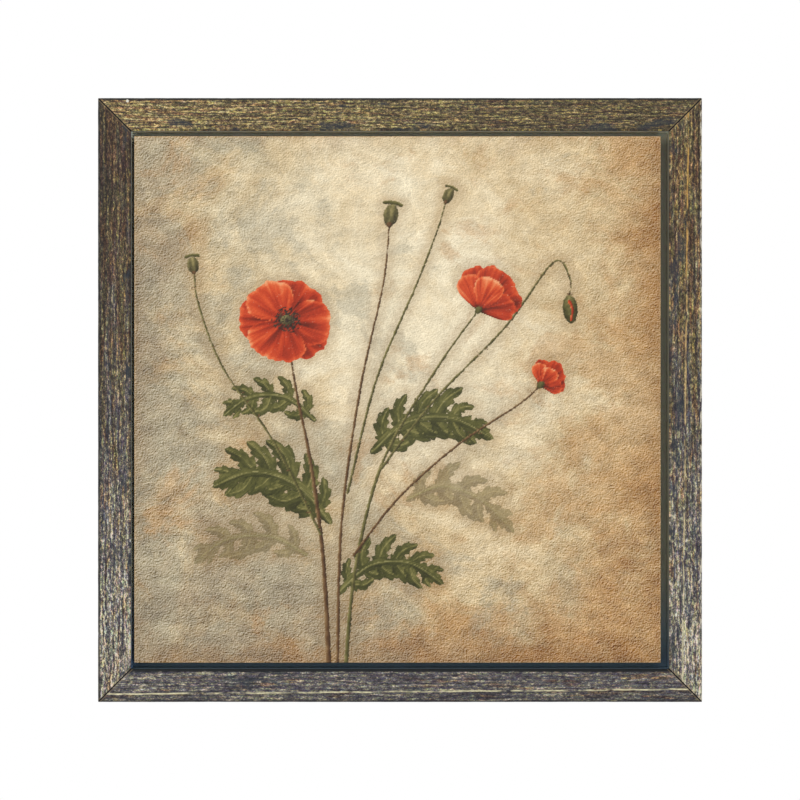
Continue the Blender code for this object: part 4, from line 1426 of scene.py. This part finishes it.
def fold_rings(half, front, back, radius):
    """Half side and y of each ring, from the face round the two folds."""
    turns = np.radians((30, 60, 90))
    rings = [(half - radius + radius * math.sin(t), front + radius - radius * math.cos(t)) for t in turns]
    rings += [(half, front + (back - front) * share) for share in (0.3, 0.55, 0.8)]
    for turn in (0, *turns):
        rings.append((half - radius + radius * math.cos(turn), back - radius + radius * math.sin(turn)))
    return rings


def hem_lift(places, inset):
    """The hem's height over the bars: it is doubled at the folded corners, and lies a little unevenly."""
    off = np.abs(places)
    from_corner = canvas_half * (1 - off.min(axis=1) / np.maximum(off.max(axis=1), 1e-9))
    turn = np.arange(len(places)) // (len(places) // 4)
    doubled = soft_step(from_corner, 46 * MM, 45 * MM) * (turn % 2 == 0)
    bumpy = smooth_noise(places[:, 0] * 26 + 60, places[:, 1] * 26 + inset * 300 + 60, 205)
    return (0.22 * (1 - doubled) + 0.10 * bumpy * (1 - doubled)) * MM


# %% [markdown]
# Each part of the cloth only has to know the numbers of the points that it adds, so a small class keeps the
# count. It also joins rings to each other: where both have as many points, and where one has fewer.

# %% Gather points and faces
class Net:
    """Points and faces, gathered step by step into one mesh."""

    def __init__(self):
        self.blocks, self.faces, self.count = [], [], 0

    def add_points(self, points):
        """Adds points, and returns their numbers."""
        self.blocks.append(points)
        self.count += len(points)
        return list(range(self.count - len(points), self.count))

    def join_rings(self, rings):
        """Quads between each ring and the next."""
        for outer, inner in zip(rings, rings[1:]):
            for k in range(len(outer)):
                after = (k + 1) % len(outer)
                self.faces.append([outer[k], outer[after], inner[after], inner[k]])

    def join_to_sparse(self, dense, marked, sparse):
        """Faces from a dense ring to a sparse one. Marked says which dense points have a partner."""
        starts = [k for k, mark in enumerate(marked) if mark]
        for number, start in enumerate(starts):
            end = starts[(number + 1) % len(starts)]
            run = range(start, end + 1) if end > start else [*range(start, len(dense)), *range(end + 1)]
            after = (number + 1) % len(sparse)
            self.faces.append([dense[k] for k in run] + [sparse[after], sparse[number]])


# %% The outside of the cloth
def add_outer_rings(net):
    """From the first fold round to the hem's edge. Returns the numbers in each ring."""
    places = ring_places()
    on_border = np.sign(places) * (np.abs(places) == 1)
    rings = fold_rings(canvas_half, cloth_front, cloth_back, FOLD_RADIUS)
    rings += [(canvas_half - inset * MM, cloth_back) for inset in (6, 12, 18, 21, 23, 25, 27)]
    rings.append((canvas_half - HEM, cloth_back))
    numbers = []
    for half, y in rings:
        inset = canvas_half - half
        on_hem = soft_step(inset, 1.5 * MM, 6 * MM) * (y > cloth_back - 0.1 * MM)
        wander = 0.7 * MM * (smooth_noise(np.arange(len(places)) / 4, 0.5, 206) - 0.5) * (inset > 29 * MM)
        square = places * half - on_border * wander[:, None]
        lift = hem_lift(places, inset) * on_hem
        ring = np.stack([square[:, 0], y - lift, square[:, 1]], axis=1)
        numbers.append(net.add_points(ring))
    return numbers


# %% The inside of the cloth
def add_inner_rings(net):
    """From the hem's edge back round the folds to the raw back of the face."""
    places = ring_places(INSIDE_EVERY)
    half, back = canvas_half - CLOTH_THICK, cloth_back - CLOTH_THICK
    rings = [(half - HEM + CLOTH_THICK, back)]
    rings += fold_rings(half, cloth_front + CLOTH_THICK, back, FOLD_RADIUS / 2)[::-1]
    numbers = []
    for half, y in rings:
        lift = 0.4 * hem_lift(places, HEM) * (canvas_half - half > 5 * MM)
        ring = np.stack([places[:, 0] * half, y - lift, places[:, 1] * half], axis=1)
        numbers.append(net.add_points(ring))
    return numbers


def inside_net():
    """Points of the raw back, inside its border ring. The cloth waves a little between the bars."""
    few = CELLS // INSIDE_EVERY
    marks = np.linspace(-1, 1, few + 1)[1:-1] * (canvas_half - CLOTH_THICK - FOLD_RADIUS / 2)
    right, up = np.meshgrid(marks, marks, indexing="ij")
    waves = 0.12 * MM * smooth_noise(right.ravel() * 22 + 40, up.ravel() * 22 + 40, 207)
    return np.stack([right.ravel(), cloth_front + CLOTH_THICK + waves, up.ravel()], axis=1)


def inside_net_faces(inside, ring):
    """Faces of the raw back, joined to its border ring."""
    few = CELLS // INSIDE_EVERY
    numbers = np.full((few + 1, few + 1), -1)
    numbers[1:-1, 1:-1] = np.reshape(inside, (few - 1, few - 1))
    numbers[:few, 0] = ring[:few]
    numbers[few, :few] = ring[few : 2 * few]
    numbers[few:0:-1, few] = ring[2 * few : 3 * few]
    numbers[0, few:0:-1] = ring[3 * few :]
    corners = [numbers[:-1, :-1], numbers[:-1, 1:], numbers[1:, 1:], numbers[1:, :-1]]
    return np.stack(corners, axis=-1).reshape(-1, 4).tolist()


# %% [markdown]
# The parts are now put together: the face, the outer rings to the hem's edge, the inner rings back towards
# the front, and the raw back. Together they close, so the cloth has a real thickness everywhere.

# %% The canvas as one closed sheet
def face_outwards(mesh):
    """Turns every face of a closed mesh outwards."""
    bm = bmesh.new()
    bm.from_mesh(mesh)
    bmesh.ops.recalc_face_normals(bm, faces=bm.faces)
    bm.to_mesh(mesh)
    bm.free()


def canvas_net():
    """The whole cloth: its face, its folded sides and hem, and its inside."""
    net = Net()
    flat = lattice(fine_count)[used.ravel()]
    face_y = cloth_front + plaster_depth(flat)
    net.add_points(np.stack([flat[:, 0] * MM, face_y, flat[:, 1] * MM], axis=1))
    net.faces += face_faces
    outer = add_outer_rings(net)
    net.join_to_sparse([number for number, mark in border], [mark for number, mark in border], outer[0])
    net.join_rings(outer)
    inner = add_inner_rings(net)
    net.join_to_sparse(outer[-1], [k % INSIDE_EVERY == 0 for k in range(len(outer[-1]))], inner[0])
    net.join_rings(inner)
    net.faces += inside_net_faces(net.add_points(inside_net()), inner[-1])
    return net


def make_canvas():
    """The cloth as one object, in its place."""
    net = canvas_net()
    mesh = bpy.data.meshes.new("stretched_canvas")
    mesh.from_pydata(np.concatenate(net.blocks) + np.array(canvas_centre), [], net.faces)
    face_outwards(mesh)
    mesh.shade_smooth()
    mesh.set_sharp_from_angle(angle=math.radians(55))
    cloth = bpy.data.objects.new("stretched_canvas", mesh)
    bpy.context.scene.collection.objects.link(cloth)
    return cloth


canvas = make_canvas()
triangles = sum(len(polygon.vertices) - 2 for polygon in canvas.data.polygons)
print("canvas:", len(canvas.data.vertices), "points,", triangles, "triangles")

# %% [markdown]
# The finished mesh is painted: the design is worked out at each of its points, with a mask for the raw
# cloth.

# %% Paint the canvas
def store_colour(mesh, name, values):
    layer = mesh.attributes.new(name, "FLOAT_COLOR", "POINT")
    rgba = np.concatenate([linear(values), np.ones((len(values), 1))], axis=1)
    layer.data.foreach_set("color", np.ascontiguousarray(rgba, np.float32).ravel())


def paint_canvas():
    """Stores the design and the zones on the mesh. Returns how much of it is painted."""
    mesh = canvas.data
    local = mesh_points(mesh) - np.array(canvas_centre)
    flat = local[:, [0, 2]] / MM
    side = canvas_half - np.abs(local[:, [0, 2]]).max(axis=1)
    behind = soft_step(local[:, 1], cloth_back - 1.2 * MM, cloth_back - 0.4 * MM)
    inside = soft_step(side, 0.3 * MM, 0.5 * MM) * (local[:, 1] > cloth_front + 0.9 * CLOTH_THICK)
    sheet = paint_design(flat)
    store_colour(mesh, "paint", sheet.colour)
    store_number(mesh, "cover", sheet.cover)
    store_number(mesh, "strength", sheet.strength)
    store_number(mesh, "raw", np.maximum(behind, inside))
    return float((sheet.cover > 0).mean())


print("share of points painted:", round(paint_canvas(), 3))
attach(canvas, "root")
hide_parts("canvas")

# %% [markdown]
# ## The print's finish
#
# The ground of the print is a scumble of cream, tan and blue-grey over something like old plaster: light in
# the middle, browner at the edges, and cooler down the left. Each colour is laid by its own slow noise. The
# plaster's ripples are in the bump, and their light and shade are also painted into the colour, as an
# embossed print shows them: a painted highlight on the side of each ripple that faces the upper left, and
# painted shade on the other side. Taking the ripples' height twice, a little apart, gives those sides.

# %% The plaster-like ground
GROUND = ((0.10, (138, 100, 62)), (0.28, (172, 134, 92)), (0.44, (198, 166, 122)), (0.58, (214, 190, 148)))
GROUND += ((0.74, (228, 208, 170)), (0.95, (240, 226, 194)))
COOL_GROUND = ((0.2, (122, 112, 95)), (0.45, (161, 151, 127)), (0.65, (190, 180, 152)))
COOL_GROUND += ((0.85, (216, 207, 180)),)
RIPPLE_TURNS = (math.radians(18), math.radians(-50))
RIPPLE_SCALES = ((300, 300, 440), (370, 370, 400))
# The step towards the upper left that gives each ripple's painted highlight and shade.
RIPPLE_LIGHT_STEP = (-0.36 * MM, 0, 0.50 * MM)
RIM_SHIFT = Vector((10 * MM, 0, -12 * MM))  # the brown rim is broadest at the lower right
COOL_SIDE, TAN_SIDE = (-1.5, 0, -0.7), (0.36, 0, -0.10)
GREY_PATCH, TAN_PATCH = (160, 156, 138), (190, 147, 98)
# The fold's colour is a painted highlight. The brown rim and the small stains are the print's.
RIM_BROWN, FOLD_HIGHLIGHT, SMALL_STAIN = (144, 102, 60), (226, 192, 146), (128, 94, 60)
HAIRLINES = ((42, (16, 16, 78), -0.10), (-63, (11, 11, 60), 0.13))  # degrees, scales, change of brightness


def ripple_height(finish, place):
    """The plaster's ripples: short and wavy. Most run up to the right, and some patches run down."""
    sets = []
    for turn, scales in zip(RIPPLE_TURNS, RIPPLE_SCALES):
        slanted = finish.stretched(finish.rotated(place, turn), scales)
        sets.append(finish.noise(slanted, detail=3, roughness=0.75, distortion=0.15))
    where = finish.noise(finish.stretched(place, (48, 48, 56), (3, 9, 1)), detail=4, roughness=0.7)
    ripples = finish.mix(finish.step(where, 0.42, 0.54), *sets)
    grit = finish.noise(place, 640, detail=3)
    return finish.maths("MULTIPLY_ADD", ripples, 0.54, finish.maths("MULTIPLY", grit, 0.46))


def make_ground(finish, place, ripples):
    """The colour of the ground."""
    from_glow = finish.stretched(place, (1.15, 0, 0.86), (-0.012, 0, 0.138))
    off_glow = finish.node("VectorMath", from_glow, operation="LENGTH").outputs["Value"]
    glow = finish.step(off_glow, 0.36, 0.03)
    drift = finish.stretched(place, (6, 6, 7), (1.3, 0, 2.1))
    drift = finish.noise(drift, detail=7, roughness=0.62, distortion=1.2)
    scumble = finish.stretched(place, (20, 20, 27), (5, 0, 3))
    scumble = finish.noise(scumble, detail=9, roughness=0.72, distortion=0.8)
    value = finish.maths("MULTIPLY_ADD", glow, 0.48, -0.29)
    value = finish.maths("MULTIPLY_ADD", drift, 0.78, value)
    value = finish.maths("MULTIPLY_ADD", scumble, 0.80, finish.maths("ADD", value, -0.09))
    warm = finish.ramp(value, *GROUND)
    cool = finish.ramp(finish.maths("ADD", value, 0.04), *COOL_GROUND)
    towards_cool = finish.towards(place, COOL_SIDE)
    cool_drift = finish.stretched(place, (9, 9, 8), (7, 0, 4))
    cool_drift = finish.noise(cool_drift, detail=5, roughness=0.62, distortion=1.0)
    coolness = finish.maths("MULTIPLY_ADD", towards_cool, 0.62, cool_drift)
    ground = finish.mix(finish.maths("MULTIPLY", finish.step(coolness, 0.52, 0.92), 0.72), warm, cool)
    greyed = finish.maths("MULTIPLY_ADD", towards_cool, 0.30, knife_patches(finish, place, (1, 5, 9)))
    grey_share = finish.maths("MULTIPLY", finish.step(greyed, 0.57, 0.66), 0.40)
    ground = finish.mix(grey_share, ground, GREY_PATCH)
    towards_tan = finish.towards(place, TAN_SIDE)
    tanned = finish.maths("MULTIPLY_ADD", glow, -0.06, towards_tan)
    tanned = finish.maths("ADD", tanned, knife_patches(finish, place, (6, 2, 4)))
    tan_share = finish.maths("MULTIPLY", finish.step(tanned, 0.51, 0.62), 0.46)
    ground = finish.mix(tan_share, ground, TAN_PATCH)
    return stains_and_painted_light(finish, place, ground, ripples, glow)


def knife_patches(finish, place, shift):
    """Patches with ragged borders, as a palette knife leaves a thin upper layer."""
    patches = finish.stretched(place, (11, 11, 13), shift)
    return finish.noise(patches, detail=10, roughness=0.70, distortion=0.5)


def off_centre(finish, place, shift=Vector()):
    """How far a place is from the canvas's middle, sideways or up, whichever is more."""
    off = finish.stretched(place, (1, 1, 1), tuple(shift - canvas_centre))
    parts = finish.node("SeparateXYZ", off).outputs
    sideways, upwards = (finish.maths("ABSOLUTE", parts[axis]) for axis in "XZ")
    return finish.maths("MAXIMUM", sideways, upwards)


def stains_and_painted_light(finish, place, ground, ripples, glow):
    """Brown edges, stains, a painted fold highlight, and painted ripple light and shade, calmer in the
    middle.
    """
    patchy = finish.noise(finish.stretched(place, (16, 16, 16), (2, 2, 8)), detail=6, roughness=0.68)
    rim = finish.maths("MULTIPLY_ADD", patchy, 0.085, off_centre(finish, place, RIM_SHIFT))
    rim_share = finish.maths("MULTIPLY", finish.step(rim, 0.266, 0.318), 0.56)
    ground = finish.mix(rim_share, ground, RIM_BROWN)
    # A painted highlight along the rounded fold round the canvas's edge.
    folded = finish.step(off_centre(finish, place), canvas_half - 1.6 * MM, canvas_half - 0.6 * MM)
    ground = finish.mix(finish.maths("MULTIPLY", folded, 0.6), ground, FOLD_HIGHLIGHT)
    stain = finish.noise(finish.stretched(place, (75, 75, 90), (4, 1, 1)), detail=5, roughness=0.7)
    stain_share = finish.maths("MULTIPLY", finish.step(stain, 0.66, 0.76), 0.34)
    ground = finish.mix(stain_share, ground, SMALL_STAIN)
    # Painted highlight and shade: the ripples' height is taken again a step towards the upper left, and the
    # difference lightens the side that faces there and darkens the other.
    ahead = ripple_height(finish, finish.stretched(place, (1, 1, 1), RIPPLE_LIGHT_STEP))
    facing = finish.maths("SUBTRACT", ripples, ahead)
    lit = finish.maths("MULTIPLY", facing, finish.maths("MULTIPLY_ADD", glow, -3.8, 6.2))
    brightness = finish.maths("MULTIPLY_ADD", lit, 0.45, 1.0)
    scrubbed = finish.noise(finish.stretched(place, (60, 60, 76), (8, 1, 5)), detail=5, roughness=0.64)
    specks = finish.noise(finish.stretched(place, (600, 600, 600), (3, 6, 3)), detail=2)
    uneven = finish.maths("MULTIPLY_ADD", scrubbed, 1.15, -0.90)
    uneven = finish.maths("MULTIPLY_ADD", specks, 0.65, uneven)
    uneven = finish.maths("MULTIPLY", uneven, finish.maths("MULTIPLY_ADD", glow, -0.5, 1.0))
    brightness = finish.maths("ADD", brightness, uneven)
    for degrees, scales, change in HAIRLINES:
        lines = hairlines(finish, place, degrees, scales)
        brightness = finish.maths("MULTIPLY_ADD", lines, change, brightness)
    ground = finish.times(ground, brightness)
    # The painted highlight and shade are also added as an even grey.
    return finish.node("VectorMath", ground, finish.maths("MULTIPLY", lit, 0.22)).outputs["Vector"]


def hairlines(finish, place, degrees, scales):
    """Long thin lines that wander in one direction: 1 on a line, 0 off it."""
    slanted = finish.stretched(finish.rotated(place, math.radians(degrees)), scales)
    level = finish.noise(slanted, detail=3, distortion=0.7)
    return finish.step(finish.maths("ABSOLUTE", finish.maths("ADD", level, -0.5)), 0.012, 0.0)


# %% [markdown]
# The painted design comes from the mesh. Its edge is made ragged with fine noise, it is rubbed thin on
# the highest ripples, and the ground beside it is a little darker, as where a brush was worked round it.
# Behind, the cloth is raw cotton with its weave showing.

# %% The whole canvas material
THREAD = 1.3 * MM
COTTON = ((0.34, (168, 152, 124)), (0.5, (208, 195, 168)), (0.66, (232, 222, 200)))
SEED_SPECK, WORKED_ROUND = (134, 104, 70), (150, 118, 78)


def make_weave(finish, place):
    """A plain weave, from 0 to 1."""
    parts = finish.node("SeparateXYZ", place)
    turns = 2 * math.pi / THREAD
    warp = finish.maths("SINE", finish.maths("MULTIPLY", parts.outputs["X"], turns))
    weft = finish.maths("SINE", finish.maths("MULTIPLY", parts.outputs["Z"], turns))
    side = finish.maths("SINE", finish.maths("MULTIPLY", parts.outputs["Y"], turns))
    woven = finish.maths("MULTIPLY", finish.maths("ADD", warp, side), finish.maths("ADD", weft, side))
    return finish.maths("MULTIPLY_ADD", woven, 0.25, 0.5)


def raw_cotton(finish, place, weave):
    """Unbleached cloth: thick and thin threads both ways, and a brown speck of seed here and there."""
    level = finish.noise(finish.stretched(place, (45, 45, 900)), detail=3)
    upright = finish.noise(finish.stretched(place, (900, 45, 45), (4, 4, 4)), detail=3)
    threads = finish.maths("MULTIPLY_ADD", level, 0.42, finish.maths("MULTIPLY", upright, 0.36))
    value = finish.maths("MULTIPLY_ADD", weave, 0.22, threads)
    cotton = finish.ramp(value, *COTTON)
    seeds = finish.step(finish.noise(place, 420, detail=2), 0.74, 0.80)
    return finish.mix(finish.maths("MULTIPLY", seeds, 0.55), cotton, SEED_SPECK)


def make_printed_canvas():
    """The print on its ground, and the raw cotton behind."""
    finish = Finish("printed_canvas", specular=0.22)
    place = finish.place()
    ripples = ripple_height(finish, place)
    ground = make_ground(finish, place, ripples)

    ragged = finish.noise(place, 330, detail=3, roughness=0.6)
    hairs = finish.noise(finish.stretched(place, (620, 620, 900)), detail=2)
    cover = finish.maths("MULTIPLY_ADD", ragged, 2.6, finish.measure("cover"))
    cover = finish.maths("MULTIPLY_ADD", hairs, 1.2, finish.maths("SUBTRACT", cover, 1.9))
    painted = finish.step(cover, -0.35, 0.55)
    rubbed = finish.step(finish.maths("MULTIPLY_ADD", ragged, 0.45, ripples), 0.84, 0.94)
    painted = finish.maths("MULTIPLY", painted, finish.maths("MULTIPLY_ADD", rubbed, -0.35, 0.97))
    painted = finish.maths("MULTIPLY", painted, finish.measure("strength"))
    near_paint = finish.step(finish.maths("MULTIPLY_ADD", ragged, 8.0, cover), -9.0, 4.0)
    ground = finish.mix(finish.maths("MULTIPLY", near_paint, 0.30), ground, WORKED_ROUND)
    bristles = finish.maths("MULTIPLY_ADD", ripples, 0.9, 0.58)
    paint = finish.node("Attribute", attribute_name="paint").outputs["Color"]
    printed = finish.mix(painted, ground, finish.times(paint, bristles))

    weave = make_weave(finish, place)
    cotton = raw_cotton(finish, place, weave)
    colour = finish.mix(finish.measure("raw"), printed, cotton)
    roughness = finish.maths("MULTIPLY_ADD", painted, -0.14, 0.84)
    height = finish.maths("MULTIPLY_ADD", weave, 0.12, ripples)
    return finish.dress(colour, roughness, height, 0.35 * MM)


cover_with(canvas, make_printed_canvas())
print("nodes in the canvas material:", len(canvas.data.materials[0].node_tree.nodes))

# %% [markdown]
# ## Stretcher bars
#
# The bars are planed pine, pale and cheap, seen only from behind. Their solids are right as they are, so
# they just need wood. Pine shows wide soft bands with sharp dark lines between them, and a pith fleck here
# and there. The bands run along a bar, so upright bars and level bars each have their own material.

# %% Pine
PINE = ((0.15, (178, 132, 82)), (0.42, (212, 172, 118)), (0.60, (228, 192, 140)), (0.85, (240, 212, 164)))
PITH_FLECK = (140, 94, 54)


def make_pine(name, scales):
    """Pine whose grain runs along the axis with the smallest scale."""
    finish = Finish(name, specular=0.3)
    place = finish.place()
    bend = finish.noise(finish.stretched(place, scales), detail=2, distortion=0.4)
    rings = finish.maths("SINE", finish.maths("MULTIPLY", bend, 46.0))
    rings = finish.maths("MULTIPLY_ADD", rings, 0.22, 0.5)
    fibre_scales = tuple(scale * 11 for scale in scales)
    fibres = finish.noise(finish.stretched(place, fibre_scales), detail=4, roughness=0.6)
    value = finish.maths("MULTIPLY_ADD", fibres, 0.55, finish.maths("MULTIPLY_ADD", rings, 0.75, -0.12))
    wood = finish.ramp(value, *PINE)
    fleck_scales = tuple(scale * 5 for scale in scales)
    flecks = finish.noise(finish.stretched(place, fleck_scales, (3, 3, 3)), detail=2)
    wood = finish.mix(finish.maths("MULTIPLY", finish.step(flecks, 0.68, 0.78), 0.4), wood, PITH_FLECK)
    return finish.dress(wood, 0.68, fibres, 0.15 * MM)


level_pine = make_pine("level_pine", (3.0, 70, 70))
upright_pine = make_pine("upright_pine", (70, 70, 3.0))
for side in SIDES:
    level = side in ("top", "bottom")
    cover_with(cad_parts["bar_" + side], level_pine if level else upright_pine)

# %% [markdown]
# ## Hardware
#
# Screws, staples, corner nails and the hanger are zinc-plated steel. Zinc is a bright grey metal with faint
# cloudy spangles and fine rolling lines, duller where it has been handled. The bumpers are soft rubber.

# %% Zinc and rubber
ZINC = ((0.3, (164, 164, 160)), (0.55, (180, 180, 175)), (0.8, (194, 193, 186)))
RUBBER = ((0.3, (34, 34, 36)), (0.7, (54, 54, 57)))


def make_zinc():
    """Bright plate with faint clouds and fine rolling lines."""
    finish = Finish("zinc_steel", specular=0.5, metallic=1.0)
    place = finish.place()
    clouds = finish.noise(place, 260, detail=3)
    lines = finish.noise(finish.stretched(place, (300, 300, 4000)), detail=2)
    colour = finish.ramp(clouds, *ZINC)
    roughness = finish.maths("MULTIPLY_ADD", clouds, 0.25, 0.24)
    return finish.dress(colour, roughness, lines, 0.03 * MM)


def make_rubber():
    """Soft matt black, with a fine grain."""
    finish = Finish("bumper_rubber", specular=0.4)
    grain = finish.noise(finish.place(), 1400, detail=2)
    colour = finish.ramp(grain, *RUBBER)
    return finish.dress(colour, 0.58, grain, 0.04 * MM)


zinc, rubber = make_zinc(), make_rubber()
METAL_PARTS = ("screw_", "staple_", "vnail_", "hanger")
for name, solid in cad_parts.items():
    if name.startswith(METAL_PARTS):
        cover_with(solid, zinc)
    elif name.startswith("bumper_"):
        cover_with(solid, rubber)
print("metal pieces:", sum(name.startswith(METAL_PARTS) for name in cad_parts))
